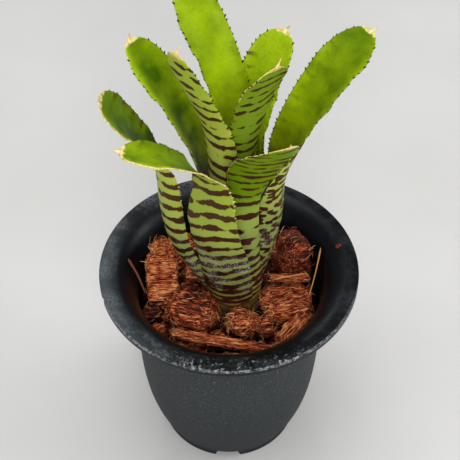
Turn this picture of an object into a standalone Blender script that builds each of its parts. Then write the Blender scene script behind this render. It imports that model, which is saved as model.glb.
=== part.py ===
"""Potted bromeliad: a banded tubular bromeliad in a flared nursery pot of coconut husk chips.

The script works in millimetres and scales to metres when a mesh is made. +Z is up, the plant's front
faces -Y, and the origin is the centre of the pot's foot, on the surface that the pot stands on.
"""
import math
import random

import bmesh
import bpy
import numpy as np
from mathutils import Euler, Matrix, Vector

MM = 0.001

# Driving dimensions, in millimetres.
POT_HEIGHT = 110.0
RIM_RADIUS = 60.0
NECK_RADIUS = 44.7          # outside of the body where the rim begins to flare
FOOT_RADIUS = 35.0
NECK_Z = 94.0
WALL = 1.5
BODY_FULLNESS = 4.2         # how quickly the body rounds out above the foot
LIP_DROP = 3.6              # height of the rim's outer edge
FLOOR_Z = 4.8
FLOOR_THICKNESS = 1.7
FOOT_RING_WIDTH = 3.0
FOOT_RING_HEIGHT = 3.8      # the ring's outside stands upright to here
NOTCH_COUNT = 4
NOTCH_WIDTH = 12.5
NOTCH_HEIGHT = 3.6
NOTCH_TURN = -91.0          # azimuth of the first notch, degrees
DRAIN_COUNT = 8
DRAIN_RADIUS = 3.5
DRAIN_RING = 21.0
DRAIN_SEGMENTS = 12
FIT_GAP = 0.4               # clearance kept between neighbouring pieces
FLARE_TURNS = (24, 46, 68, 90)      # stations round the rim's quarter-ellipse flare, degrees
WALL_GAP = 0.6              # clearance between the husk and the pot's wall
NOTCH_CUT_DEPTH = 12.0      # radial size of a notch's cutter
CUT_SPARE = 4.0             # how far cutters run past what they cut
FILL_TOP_Z = 81.5
FILL_RIPPLE = 1.0
PLANT_AXIS = (3.0, 3.0)
LEAF_BASE_Z = 86.0
PLATE_RADIUS = 12.6         # top plate of the stem, under the leaf bases
PLATE_THICKNESS = 3.0
STEM_STUB = ((3.5, 34.0), (5.5, 22.0), (8.0, 10.0))     # radii of the stub and how far below the top
STEM_SEGMENTS = 20
LEAF_THICKNESS = 0.7
LEAF_EDGE = 0.3
LEAF_STEPS = 20             # stations along a leaf
LEAF_LANES = 7              # points across a leaf
TIP_START = 0.86            # where the blade begins to round off, as a share of its length
CORNER_SHARE = 0.88         # how far a sawn chip keeps its corners
LUMP_POWER = 0.75           # below 1, a lump is squarer than a ball
CHIP_ROUGHNESS = 0.035      # unevenness of a chip, as a share of its least size
STRAW_SEGMENTS = 6
STRAW_TAPER = 0.6           # a straw's thin end, as a share of its thick end
POT_SEGMENTS = 48
BODY_STATIONS = (FOOT_RING_HEIGHT, 8.0, 16.0, 28.0, 50.0, NECK_Z)
FILL_SEGMENTS = 24

# Shares of a leaf's length at which its shape values stand.
HEADING_AT = (0.0, 0.4, 0.7, 1.0)
RISE_AT = (0.0, 0.22, 0.42, 0.6, 0.8, 1.0)
TWIST_AT = (0.0, 0.5, 1.0)
WIDTH_AT = (0.0, 0.12, 0.28, 0.5, 0.72, 1.0)
CUP_AT = (0.0, 0.3, 0.55, 0.8, 1.0)

# One entry for each leaf, outermost first. azimuth and ring place its base round the plant's axis,
# heading is the compass direction it leans to and rise its slope above the horizontal, twist rolls the
# blade, half_width is half its width along the surface, and cup is half the angle its section bends through.
LEAVES = {
    "leaf_front_left": dict(
        azimuth=259, ring=11.6, length=143, heading=(257, 226, 208, 175),
        rise=(67, 81, 75, 93, 42, 7), twist=(22, 5),
        half_width=(11.8, 12.5, 12.2, 10.3), cup=(52, 29, 19, 22, 12)),
    "leaf_front_right": dict(
        azimuth=292, ring=10.7, length=139, heading=(290, 297, 289, 322),
        rise=(72, 93, 95, 72, 55, 50), twist=(-12, -20),
        half_width=(10.6, 7.4, 6.7, 10.7), cup=(58, 32, 21, 17, 7)),
    "leaf_far_left": dict(
        azimuth=192, ring=10.2, length=136, heading=(200, 182, 181, 191),
        rise=(68, 64, 82, 88, 60, 60), twist=(26, -17),
        half_width=(11.5, 11.3, 11.3, 11.7), cup=(62, 67, 65, 38, 4)),
    "leaf_right": dict(
        azimuth=10, ring=8.9, length=153, heading=(8, -7, 34, 29),
        rise=(74, 78, 89, 75, 52, 35), twist=(-9, 3),
        half_width=(16.2, 15.0, 13.6, 11.9), cup=(65, 87, 74, 32, 7)),
    "leaf_back_left": dict(
        azimuth=150, ring=8.0, length=142, heading=(157, 156, 154, 148),
        rise=(76, 86, 84, 71, 59, 46), twist=(12, -7),
        half_width=(13.9, 12.8, 11.6, 10.4), cup=(65, 59, 47, 30, 18)),
    "leaf_back_right": dict(
        azimuth=55, ring=7.1, length=138, heading=(53, 72, 60, 48),
        rise=(81, 86, 86, 84, 66, 44), twist=(-17, 2),
        half_width=(12.8, 12.2, 11.5, 11.3), cup=(70, 63, 59, 40, 19)),
    "leaf_back": dict(
        azimuth=97, ring=6.2, length=163, heading=(93, 93, 128, 137),
        rise=(86, 86, 90, 77, 57, 62), twist=(-2, -12),
        half_width=(11.5, 11.8, 11.0, 10.5), cup=(75, 67, 66, 40, 12)),
    "leaf_inner_left": dict(
        azimuth=225, ring=5.3, length=158, heading=(221, 226, 215, 205),
        rise=(83, 87, 87, 85, 69, 80), twist=(5, 17),
        half_width=(9.7, 9.9, 10.2, 10.4), cup=(85, 73, 49, 27, 10)),
    "leaf_inner_right": dict(
        azimuth=320, ring=4.4, length=148, heading=(317, 317, 313, 326),
        rise=(91, 90, 88, 85, 78, 63), twist=(5, -19),
        half_width=(8.3, 9.6, 10.3, 10.6), cup=(85, 73, 55, 29, -4)),
}

# Loose husk chips: centre, size and turn (degrees about X, Y, Z) of each sawn block,
BLOCK_CHIPS = {
    "chip_upright_left": ((-32.2, 7.0, 97.0), (13.6, 8.5, 28.0), (-31, 0, 6)),
    "chip_strip_front": ((-2.5, -31.0, 92.5), (44.0, 4.6, 2.4), (0, 0, -12)),
    "chip_rim_front": ((-1.5, -36.6, 86.2), (30.0, 5.0, 5.0), (0, 0, 0)),
    "chip_diagonal_right": ((30.2, -21.3, 88.2), (18.0, 7.5, 7.5), (0, -8, 48)),
    "chip_flat_right": ((28.5, 3.8, 96.6), (17.0, 4.2, 2.2), (0, 4, 3)),
    "chip_back_left": ((-24.5, 26.5, 89.5), (16.0, 11.0, 10.0), (8, 0, 38)),
    "chip_back_mid": ((14.0, 32.5, 88.6), (12.0, 10.0, 8.0), (0, 10, -24)),
    "chip_front_right": ((20.8, -32.4, 86.8), (9.0, 5.0, 5.0), (0, 0, 33)),
    "chip_left_low": ((-33.2, -20.6, 86.8), (7.0, 6.0, 5.5), (6, 0, 30)),
    "chip_mid_right": ((16.5, -18.5, 87.0), (6.0, 8.0, 6.5), (0, 12, 20)),
    "chip_under_strip_right": ((7.5, -29.6, 86.8), (15.0, 4.6, 5.0), (0, 0, -8)),
    "chip_under_strip_left": ((-14.5, -27.6, 86.8), (9.0, 5.0, 5.0), (0, 0, -14)),
    "chip_rear_right": ((23.8, 28.6, 87.4), (6.5, 6.5, 6.0), (0, 0, 50)),
}
# and of each rounded, fibrous lump.
LUMP_CHIPS = {
    "chip_round_left": ((-17.5, -11.0, 90.0), (23.0, 18.0, 11.5), (0, 0, -12)),
    "chip_fibrous_front": ((6.0, -18.2, 90.8), (12.5, 11.5, 10.5), (0, 0, 10)),
    "chip_big_right": ((27.2, -5.2, 88.8), (21.5, 18.0, 11.0), (0, 0, 12)),
    "chip_wedge_back_right": ((30.8, 17.2, 96.0), (12.5, 19.0, 23.0), (0, 8, 29)),
    "chip_back": ((-4.5, 33.0, 88.4), (19.0, 12.0, 9.5), (0, 8, -6)),
    "chip_back_inner": ((-16.5, 14.5, 87.6), (9.0, 9.0, 8.0), (0, 0, 0)),
    "chip_rear_small": ((-6.5, 21.8, 87.0), (9.5, 7.0, 7.0), (0, 0, 10)),
    "chip_rear_mid": ((9.5, 21.5, 86.8), (9.0, 6.5, 6.5), (0, 0, -20)),
    "chip_left_gap": ((-19.0, 3.8, 86.9), (8.0, 8.0, 7.0), (0, 0, 0)),
    "chip_dark_left": ((-37.0, -9.5, 86.4), (8.0, 8.0, 6.0), (0, 0, 0)),
    "chip_small_front": ((-5.0, -25.0, 86.6), (7.5, 5.0, 6.0), (0, 0, 20)),
    "chip_front_left": ((-22.5, -31.5, 86.2), (11.0, 6.0, 5.0), (0, 0, -32)),
}
# Loose straws and splinters: start, end and radius.
STRAWS = {
    "straw_right_wall": ((43.2, 14.0, 106.0), (37.6, -6.6, 95.4), 0.4),
    "straw_right_chips": ((21.0, 1.6, 98.9), (35.5, 3.6, 99.3), 0.4),
    "splinter_left_wall": ((-46.6, 5.5, 107.2), (-39.6, -4.3, 95.4), 0.7),
}


def body_radius(z):
    """Outside radius of the body: it rounds out quickly above the foot ring, then nears the neck radius."""
    climbed = (z - FOOT_RING_HEIGHT) / (NECK_Z - FOOT_RING_HEIGHT)
    return NECK_RADIUS - (NECK_RADIUS - FOOT_RADIUS) * (1.0 - climbed) ** BODY_FULLNESS


def knotted(shares, knots, values):
    """Smooth curve through values at knots, without overshoot: a monotone cubic, sampled at shares."""
    knots, values = np.asarray(knots, float), np.asarray(values, float)
    steps = np.diff(knots)
    slopes = np.diff(values) / steps
    tangents = np.zeros(len(knots))
    for i in range(1, len(knots) - 1):
        before, after = slopes[i - 1], slopes[i]
        if before * after > 0.0:
            w_before = 2 * steps[i] + steps[i - 1]
            w_after = steps[i] + 2 * steps[i - 1]
            tangents[i] = (w_before + w_after) / (w_before / before + w_after / after)
    tangents[0] = end_tangent(steps[:2], slopes[:2])
    tangents[-1] = end_tangent(steps[::-1][:2], slopes[::-1][:2])
    i = np.clip(np.searchsorted(knots, shares, side="right") - 1, 0, len(steps) - 1)
    u = (shares - knots[i]) / steps[i]
    rise = u * u * (3 - 2 * u)
    return (values[i] * (1 - rise) + values[i + 1] * rise
            + steps[i] * (tangents[i] * u * (1 - u) ** 2 - tangents[i + 1] * u * u * (1 - u)))


def end_tangent(steps, slopes):
    """Slope of the monotone cubic at an end knot, from its two nearest intervals."""
    slope = ((2 * steps[0] + steps[1]) * slopes[0] - steps[0] * slopes[1]) / (steps[0] + steps[1])
    if slope * slopes[0] <= 0.0:
        return 0.0
    if slopes[0] * slopes[1] <= 0.0 and abs(slope) > 3 * abs(slopes[0]):
        return 3 * slopes[0]
    return slope


def material(name, colour, roughness, metallic=0.0):
    """Principled material of one sub-part."""
    made = bpy.data.materials.new(name)
    made.use_nodes = True
    shader = made.node_tree.nodes["Principled BSDF"]
    shader.inputs["Base Color"].default_value = (*colour, 1.0)
    shader.inputs["Roughness"].default_value = roughness
    shader.inputs["Metallic"].default_value = metallic
    return made


def link(name, mesh, look=None):
    """Put a mesh into the scene as a named object."""
    obj = bpy.data.objects.new(name, mesh)
    bpy.context.collection.objects.link(obj)
    if look:
        mesh.materials.append(look)
    return obj


def solid(name, points, faces, look=None):
    """Named object from points in millimetres, with its faces turned outwards."""
    bm = bmesh.new()
    verts = [bm.verts.new(Vector(p) * MM) for p in points]
    for face in faces:
        bm.faces.new([verts[i] for i in face])
    bmesh.ops.recalc_face_normals(bm, faces=bm.faces)
    mesh = bpy.data.meshes.new(name)
    bm.to_mesh(mesh)
    bm.free()
    mesh.shade_smooth()
    mesh.set_sharp_from_angle(angle=math.radians(35))
    return link(name, mesh, look)


def turned(name, profile, segments, look=None):
    """Solid turned about Z: the profile's (radius, z) points run from the axis round and back to it."""
    rings = [p for p in profile if p[0] > 1e-6]
    points, faces = [], []
    for radius, z in rings:
        for k in range(segments):
            angle = 2 * math.pi * k / segments
            points.append((radius * math.cos(angle), radius * math.sin(angle), z))
    for row in range(len(rings) - 1):
        for k in range(segments):
            after = (k + 1) % segments
            faces.append((row * segments + k, row * segments + after,
                          (row + 1) * segments + after, (row + 1) * segments + k))
    for row, (_, z) in ((0, profile[0]), (len(rings) - 1, profile[-1])):
        points.append((0.0, 0.0, z))
        for k in range(segments):
            faces.append((row * segments + k, row * segments + (k + 1) % segments, len(points) - 1))
    return solid(name, points, faces, look)


def cut(target, cutters):
    """Subtract hidden cutters from a target with Booleans."""
    for cutter in cutters:
        cutter.hide_render = True
        cutter.display_type = 'WIRE'
        boolean = target.modifiers.new("cut_" + cutter.name, 'BOOLEAN')
        boolean.operation = 'DIFFERENCE'
        boolean.solver = 'EXACT'
        boolean.object = cutter


def joined_mesh(name, pieces):
    """One mesh made of several placed bmesh-built pieces; each piece is a (builder, matrix) pair."""
    bm = bmesh.new()
    for build, place in pieces:
        verts = build(bm)
        bmesh.ops.transform(bm, matrix=place, verts=verts)
    mesh = bpy.data.meshes.new(name)
    bm.to_mesh(mesh)
    bm.free()
    return mesh


def pot_profile():
    """Closed half section of the pot: under the floor, over the foot ring, up, round the lip and back in."""
    lip_centre_outer = RIM_RADIUS - 2.4
    lip_centre_inner = RIM_RADIUS - 3.0
    flare_outer = POT_HEIGHT - WALL - 0.3 - NECK_Z
    flare_inner = POT_HEIGHT - NECK_Z
    outer = [(FOOT_RADIUS, 0.0)] + [(body_radius(z), z) for z in BODY_STATIONS]
    inner = [(body_radius(z) - WALL, z) for z in reversed(BODY_STATIONS[1:])]
    turns = [math.radians(a) for a in FLARE_TURNS]
    under = [(lip_centre_outer - (lip_centre_outer - NECK_RADIUS) * math.cos(a),
              NECK_Z + flare_outer * math.sin(a)) for a in turns]
    over = [(lip_centre_inner - (lip_centre_inner - NECK_RADIUS + WALL) * math.cos(a),
             NECK_Z + flare_inner * math.sin(a)) for a in reversed(turns)]
    edge = [(RIM_RADIUS - 1.4, POT_HEIGHT - LIP_DROP), (RIM_RADIUS, POT_HEIGHT - LIP_DROP),
            (RIM_RADIUS, POT_HEIGHT - 0.8), (RIM_RADIUS - 0.8, POT_HEIGHT)]
    floor_top = FLOOR_Z + FLOOR_THICKNESS
    foot_inner = FOOT_RADIUS - FOOT_RING_WIDTH
    return ([(0.0, FLOOR_Z), (foot_inner, FLOOR_Z), (foot_inner, 0.0)] + outer + under + edge + over
            + inner + [(body_radius(floor_top) - WALL, floor_top), (0.0, floor_top)])


def make_pot():
    """Moulded pot: flared rim, tapering body, notched foot ring and a floor with drain holes."""
    look = material("black_plastic", (0.016, 0.019, 0.022), 0.45)
    pot = turned("pot", pot_profile(), POT_SEGMENTS, look)

    def box(bm):
        return bmesh.ops.create_cube(bm, size=1.0)["verts"]

    def drill(bm):
        return bmesh.ops.create_cone(bm, cap_ends=True, segments=DRAIN_SEGMENTS, radius1=DRAIN_RADIUS * MM,
                                     radius2=DRAIN_RADIUS * MM, depth=2 * CUT_SPARE * MM)["verts"]

    notches = []
    for k in range(NOTCH_COUNT):
        turn = Matrix.Rotation(math.radians(NOTCH_TURN + 360.0 * k / NOTCH_COUNT), 4, 'Z')
        out = Matrix.Translation(Vector((FOOT_RADIUS, 0.0, (NOTCH_HEIGHT - CUT_SPARE) / 2)) * MM)
        size = Matrix.Diagonal((NOTCH_CUT_DEPTH * MM, NOTCH_WIDTH * MM, (NOTCH_HEIGHT + CUT_SPARE) * MM, 1.0))
        notches.append((box, turn @ out @ size))
    drains = [(drill, Matrix.Translation(Vector((0.0, 0.0, FLOOR_Z)) * MM))]
    for k in range(DRAIN_COUNT):
        turn = Matrix.Rotation(2 * math.pi * k / DRAIN_COUNT, 4, 'Z')
        drains.append((drill, turn @ Matrix.Translation(Vector((DRAIN_RING, 0.0, FLOOR_Z)) * MM)))
    cut(pot, [link("foot_notches", joined_mesh("foot_notches", notches)),
              link("drain_holes", joined_mesh("drain_holes", drains))])


def fill_top(x, y):
    """Height of the packed husk's uneven top."""
    return FILL_TOP_Z + FILL_RIPPLE * math.sin(0.31 * x + 1.0) * math.cos(0.27 * y)


def stem_profile(grow):
    """Half section of the stem: a wide plate under the leaf bases over a tapering stub."""
    top = LEAF_BASE_Z - FIT_GAP
    stub = [(radius + grow, top - down) for radius, down in STEM_STUB]
    return [(0.0, stub[0][1] - grow), (stub[0][0], stub[0][1] - grow), *stub[1:],
            (PLATE_RADIUS + grow, top - PLATE_THICKNESS - grow), (PLATE_RADIUS + grow, top + grow),
            (0.0, top + grow)]


def make_stem():
    """Short stem that the leaves grow from; its top plate carries their bases."""
    look = material("stem_tissue", (0.30, 0.20, 0.09), 0.8)
    stem = turned("stem", stem_profile(0.0), STEM_SEGMENTS, look)
    stem.location = Vector((*PLANT_AXIS, 0.0)) * MM


def make_fill():
    """Packed husk below the loose chips, with a socket for the stem."""
    look = material("husk_bed", (0.10, 0.035, 0.016), 0.95)
    floor_top = FLOOR_Z + FLOOR_THICKNESS + FIT_GAP
    side = [floor_top, 8.0, 16.0, 30.0, 52.0, FILL_TOP_Z - 4.0]
    rings = [(body_radius(z) - WALL - WALL_GAP, z) for z in side]
    top_radii = (rings[-1][0] - 1.0, 30.0, 20.0, 8.0)
    profile = [(0.0, floor_top)] + rings + [(r, FILL_TOP_Z) for r in top_radii] + [(0.0, FILL_TOP_Z)]
    bed = turned("husk_bed", profile, FILL_SEGMENTS, look)
    for vert in bed.data.vertices:
        if vert.co.z > (FILL_TOP_Z - 0.1) * MM:
            vert.co.z = fill_top(vert.co.x / MM, vert.co.y / MM) * MM
    socket = turned("stem_socket", stem_profile(FIT_GAP), STEM_SEGMENTS)
    socket.location = Vector((*PLANT_AXIS, 0.0)) * MM
    cut(bed, [socket])


def leaf_surface(spec):
    """Middle surface of a leaf and its normals: a path from heading and rise, with cupped sections."""
    share = np.linspace(0.0, 1.0, LEAF_STEPS)
    heading = np.radians(knotted(share, HEADING_AT, spec["heading"]))
    rise = np.radians(knotted(share, RISE_AT, spec["rise"]))
    along = np.stack([np.cos(rise) * np.cos(heading), np.cos(rise) * np.sin(heading), np.sin(rise)], 1)
    azimuth = math.radians(spec["azimuth"])
    base = np.array([PLANT_AXIS[0] + spec["ring"] * math.cos(azimuth),
                     PLANT_AXIS[1] + spec["ring"] * math.sin(azimuth), LEAF_BASE_Z])
    stride = spec["length"] / (LEAF_STEPS - 1)
    steps = (along[1:] + along[:-1]) / 2 * stride
    spine = base + np.concatenate([np.zeros((1, 3)), np.cumsum(steps, axis=0)])
    across = np.stack([-np.sin(heading), np.cos(heading), 0 * heading], 1)
    inward = np.cross(along, across)
    twist = np.radians(knotted(share, TWIST_AT, (0, *spec["twist"])))[:, None]
    across, inward = (across * np.cos(twist) + inward * np.sin(twist),
                      inward * np.cos(twist) - across * np.sin(twist))
    cup = np.radians(knotted(share, CUP_AT, spec["cup"]))
    cup = np.where(np.abs(cup) < 0.01, 0.01, cup)
    widths = (spec["ring"] * math.radians(spec["cup"][0]), *spec["half_width"], spec["half_width"][-1])
    rounding = np.clip((share - TIP_START) / (1 - TIP_START), 0, 0.97)
    half_width = knotted(share, WIDTH_AT, widths) * np.sqrt(1 - rounding ** 2.2)
    lane = np.linspace(-1.0, 1.0, LEAF_LANES)
    angle = lane[None, :] * cup[:, None]
    bend = (half_width / cup)[:, None]
    surface = (spine[:, None] + across[:, None] * (bend * np.sin(angle))[..., None]
               + inward[:, None] * (bend * (1 - np.cos(angle)))[..., None])
    normal = inward[:, None] * np.cos(angle)[..., None] - across[:, None] * np.sin(angle)[..., None]
    return surface, normal


def make_leaf(name, spec, look):
    """Closed thin solid of one leaf, thickest along its middle."""
    surface, normal = leaf_surface(spec)
    lane = np.linspace(-1.0, 1.0, LEAF_LANES)
    half = (LEAF_EDGE + (LEAF_THICKNESS - LEAF_EDGE) * (1 - lane ** 2)) / 2
    inner = surface + normal * half[None, :, None]
    outer = surface - normal * half[None, :, None]
    points = np.concatenate([inner.reshape(-1, 3), outer.reshape(-1, 3)])
    count = LEAF_STEPS * LEAF_LANES

    def at(row, lane_index, side):
        return side * count + row * LEAF_LANES + lane_index

    faces = []
    for row in range(LEAF_STEPS - 1):
        for k in range(LEAF_LANES - 1):
            for side in (0, 1):
                faces.append((at(row, k, side), at(row, k + 1, side),
                              at(row + 1, k + 1, side), at(row + 1, k, side)))
        for k in (0, LEAF_LANES - 1):
            faces.append((at(row, k, 0), at(row + 1, k, 0), at(row + 1, k, 1), at(row, k, 1)))
    for row in (0, LEAF_STEPS - 1):
        for k in range(LEAF_LANES - 1):
            faces.append((at(row, k, 0), at(row, k + 1, 0), at(row, k + 1, 1), at(row, k, 1)))
    solid(name, points.tolist(), faces, look)


def rough(bm, amount, seed):
    """Move each corner of a chip a little, the same way every run."""
    source = random.Random(seed)
    for vert in bm.verts:
        vert.co += Vector([source.uniform(-amount, amount) for _ in range(3)])


def make_chip(name, place, look, rounded, seed):
    """One husk chip: a sawn block with broken edges, or a rounded lump."""
    centre, size, turn = place
    bm = bmesh.new()
    if rounded:
        bmesh.ops.create_icosphere(bm, subdivisions=2, radius=0.5)
        for vert in bm.verts:
            vert.co = Vector([math.copysign(abs(c * 2) ** LUMP_POWER / 2, c) for c in vert.co])
    else:
        bmesh.ops.create_cube(bm, size=1.0)
        bmesh.ops.subdivide_edges(bm, edges=bm.edges, cuts=1, use_grid_fill=True)
        for vert in bm.verts:
            if all(abs(c) > 0.4 for c in vert.co):
                vert.co *= CORNER_SHARE
    bmesh.ops.scale(bm, vec=size, verts=bm.verts)
    rough(bm, CHIP_ROUGHNESS * min(size), seed)
    bmesh.ops.scale(bm, vec=(MM, MM, MM), verts=bm.verts)
    mesh = bpy.data.meshes.new(name)
    bm.to_mesh(mesh)
    bm.free()
    chip = link(name, mesh, look)
    chip.location = Vector(centre) * MM
    chip.rotation_euler = Euler([math.radians(a) for a in turn])


def make_straw(name, start, end, radius, look):
    """Thin straight fibre or splinter between two points."""
    start, end = Vector(start) * MM, Vector(end) * MM
    bm = bmesh.new()
    bmesh.ops.create_cone(bm, cap_ends=True, segments=STRAW_SEGMENTS, radius1=radius * MM,
                          radius2=STRAW_TAPER * radius * MM, depth=(end - start).length)
    mesh = bpy.data.meshes.new(name)
    bm.to_mesh(mesh)
    bm.free()
    straw = link(name, mesh, look)
    straw.location = (start + end) / 2
    straw.rotation_euler = (end - start).to_track_quat('Z', 'Y').to_euler()


for old in list(bpy.data.objects):
    bpy.data.objects.remove(old, do_unlink=True)

make_pot()
make_fill()
make_stem()
for leaf_name, leaf_spec in LEAVES.items():
    make_leaf(leaf_name, leaf_spec, material(leaf_name, (0.28, 0.42, 0.03), 0.42))
for number, (chip_name, chip_place) in enumerate(BLOCK_CHIPS.items()):
    make_chip(chip_name, chip_place, material(chip_name, (0.36, 0.10, 0.04), 0.9), False, number)
for number, (chip_name, chip_place) in enumerate(LUMP_CHIPS.items()):
    make_chip(chip_name, chip_place, material(chip_name, (0.28, 0.07, 0.03), 0.9), True, 40 + number)
for straw_name, straw_place in STRAWS.items():
    make_straw(straw_name, *straw_place, material(straw_name, (0.60, 0.34, 0.12), 0.8))
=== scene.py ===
"""Potted bromeliad: the finished look of a banded tubular bromeliad in a flared nursery pot.

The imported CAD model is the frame, and each piece here stands for one of its nodes. Lengths with mm in
their name or comment are millimetres and become metres through MM; the rest are metres. The pot's foot
stands at the origin, +Z is up and the plant's front faces -Y.
"""
import math

import bpy
import numpy as np
from mathutils import Euler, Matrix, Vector


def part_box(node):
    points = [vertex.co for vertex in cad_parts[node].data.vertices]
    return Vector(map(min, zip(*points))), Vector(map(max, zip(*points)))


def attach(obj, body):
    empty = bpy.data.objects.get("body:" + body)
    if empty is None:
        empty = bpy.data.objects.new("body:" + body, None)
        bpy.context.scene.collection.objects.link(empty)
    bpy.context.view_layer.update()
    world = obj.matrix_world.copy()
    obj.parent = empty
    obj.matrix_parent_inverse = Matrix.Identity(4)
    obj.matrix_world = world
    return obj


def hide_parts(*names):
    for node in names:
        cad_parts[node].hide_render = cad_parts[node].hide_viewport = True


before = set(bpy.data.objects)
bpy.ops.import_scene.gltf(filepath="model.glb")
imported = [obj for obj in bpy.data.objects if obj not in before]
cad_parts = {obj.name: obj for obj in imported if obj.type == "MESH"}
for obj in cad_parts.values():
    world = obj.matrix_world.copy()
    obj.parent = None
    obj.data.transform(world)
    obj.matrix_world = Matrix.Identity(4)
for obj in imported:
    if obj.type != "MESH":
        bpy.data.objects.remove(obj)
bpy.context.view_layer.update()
MM = 0.001

# ---------------------------------------------------------------------------------------------------
# Camera: a short telephoto that looks down on the plant from the front at about 47 degrees,
# so that the pot's rim shows as a wide ellipse and the leaves fan out above it.
RIM_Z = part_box("pot")[1].z
VIEW_SLOPE = math.radians(46.9)
VIEW_DISTANCE = 0.450
AIM_ABOVE_RIM = 0.0238
LENS_MM, SENSOR_MM, LENS_SHIFT = 79.04, 36.0, 0.0022
camera = bpy.data.objects.new("camera", bpy.data.cameras.new("camera"))
bpy.context.collection.objects.link(camera)
camera.data.lens, camera.data.sensor_width, camera.data.shift_x = LENS_MM, SENSOR_MM, LENS_SHIFT
camera.location = (0.0, -VIEW_DISTANCE * math.cos(VIEW_SLOPE),
                   RIM_Z + AIM_ABOVE_RIM + VIEW_DISTANCE * math.sin(VIEW_SLOPE))
camera.rotation_euler = (math.pi / 2 - VIEW_SLOPE, 0.0, 0.0)
bpy.context.scene.camera = camera
bpy.context.scene.view_settings.view_transform = "Standard"

# ---------------------------------------------------------------------------------------------------
# Studio: the pot stands on matt grey-white paper under one broad soft light overhead, with fills from the
# front and the right and a small one behind that draws a thin bright line along the black pot's lip.


def linear(code):
    """Linear RGBA of an sRGB hex: c / 12.92 when dark, else (c + 0.055) / 1.055 to the power 2.4."""
    parts = [int(code[i:i + 2], 16) / 255 for i in (1, 3, 5)]
    return (*[c / 12.92 if c <= 0.04045 else ((c + 0.055) / 1.055) ** 2.4 for c in parts], 1.0)


def add(tree, kind, inputs=None, stops=None, **settings):
    """Add a shader node: settings are its properties, inputs its sockets' values or sources, and stops its
    ramp's places and colours."""
    made = tree.nodes.new("ShaderNode" + kind)
    for name, value in settings.items():
        setattr(made, name, value)
    if stops:
        marks = made.color_ramp.elements
        marks.remove(marks[1])
        marks[0].position, marks[0].color = stops[0][0], linear(stops[0][1])
        for place, code in stops[1:]:
            marks.new(place).color = linear(code)
    for socket, value in (inputs or {}).items():
        if isinstance(value, bpy.types.NodeSocket):
            tree.links.new(value, made.inputs[socket])
        else:
            made.inputs[socket].default_value = value
    return made


def new_material(name, roughness, ior):
    """New material with its Principled shader's roughness and IOR: returns (material, node tree, shader)."""
    made = bpy.data.materials.new(name)
    made.use_nodes = True
    shader = made.node_tree.nodes["Principled BSDF"]
    shader.inputs["Roughness"].default_value = roughness
    shader.inputs["IOR"].default_value = ior
    return made, made.node_tree, shader


def noise(tree, place, scale=1.0, detail=2.0, roughness=0.5, distortion=0.0):
    """Value of a cloudy noise, read at a place."""
    return add(tree, "TexNoise", {"Vector": place, "Scale": scale, "Detail": detail, "Roughness": roughness,
                                  "Distortion": distortion}).outputs["Fac"]


def ramp(tree, value, *stops):
    """Colour of a value: each stop is a place and an sRGB hex."""
    return add(tree, "ValToRGB", {"Fac": value}, stops).outputs["Color"]


def object_place(tree):
    """Place in the piece's own space, in metres."""
    return add(tree, "TexCoord").outputs["Object"]


def wear(shader, colour, normal=None):
    """Give a shader its base colour and its bumped normal."""
    links = shader.id_data.links
    links.new(colour, shader.inputs["Base Color"])
    if normal:
        links.new(normal, shader.inputs["Normal"])


# Uncoated backdrop paper: matt, with a barely visible cloudiness tens of millimetres wide.
backdrop_paper, tree, shader = new_material("uncoated_backdrop_paper", 0.92, 1.4)
wear(shader, ramp(tree, noise(tree, object_place(tree), 9.0, 4.0), (0.3, "#cfcecb"), (0.7, "#d6d5d3")))
PAPER_HALF = 3.0
paper_corners = [(x * PAPER_HALF, y * PAPER_HALF, 0.0) for x, y in ((-1, -1), (1, -1), (1, 1), (-1, 1))]
paper_mesh = bpy.data.meshes.new("paper_floor")
paper_mesh.from_pydata(paper_corners, [], [(0, 1, 2, 3)])
paper_mesh.materials.append(backdrop_paper)
paper_floor = bpy.data.objects.new("paper_floor", paper_mesh)
bpy.context.collection.objects.link(paper_floor)

# Each lamp: place, width in metres, watts.
LAMPS = {
    "lamp_overhead": ((-0.15, 0.05, 1.75), 1.3, 17.0),
    "lamp_behind": ((-0.30, 1.50, 0.90), 0.30, 2.0),
    "lamp_front": ((0.1, -1.5, 1.2), 0.8, 19.0),
    "lamp_right": ((1.4, 0.1, 1.0), 0.7, 7.0),
}
for lamp_name, (lamp_place, lamp_width, watts) in LAMPS.items():
    lamp = bpy.data.objects.new(lamp_name, bpy.data.lights.new(lamp_name, 'AREA'))
    lamp.data.size = lamp_width
    lamp.data.energy = watts
    lamp.location = lamp_place
    lamp.rotation_euler = (Vector((0, 0, RIM_Z)) - Vector(lamp_place)).to_track_quat('-Z', 'Y').to_euler()
    bpy.context.collection.objects.link(lamp)
world = bpy.data.worlds.new("studio")
world.use_nodes = True
sky = world.node_tree.nodes["Background"].inputs
sky["Color"].default_value, sky["Strength"].default_value = linear("#f4f6fa"), 0.26
bpy.context.scene.world = world

# ---------------------------------------------------------------------------------------------------
# Pot: one injection-moulded polypropylene shell. Its rim flares out to a hanging lip, its body narrows
# to a foot ring with four drain notches, and its floor has nine drain holes.
RIM_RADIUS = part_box("pot")[1].x / MM
POT_HEIGHT = RIM_Z / MM
NECK_RADIUS, NECK_Z = 44.7, 94.0
FOOT_RADIUS, FOOT_RING_WIDTH, FOOT_RING_HEIGHT = 35.0, 3.0, 3.8
WALL = 1.5
BODY_FULLNESS = 4.2
LIP_DROP = 3.6
FLOOR_Z, FLOOR_TOP = 4.8, 6.5
# Radii of the floor's rings: the circle of drain holes lies between the outer two.
FLOOR_RINGS = (1.0, 14.0, 27.5)
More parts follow.
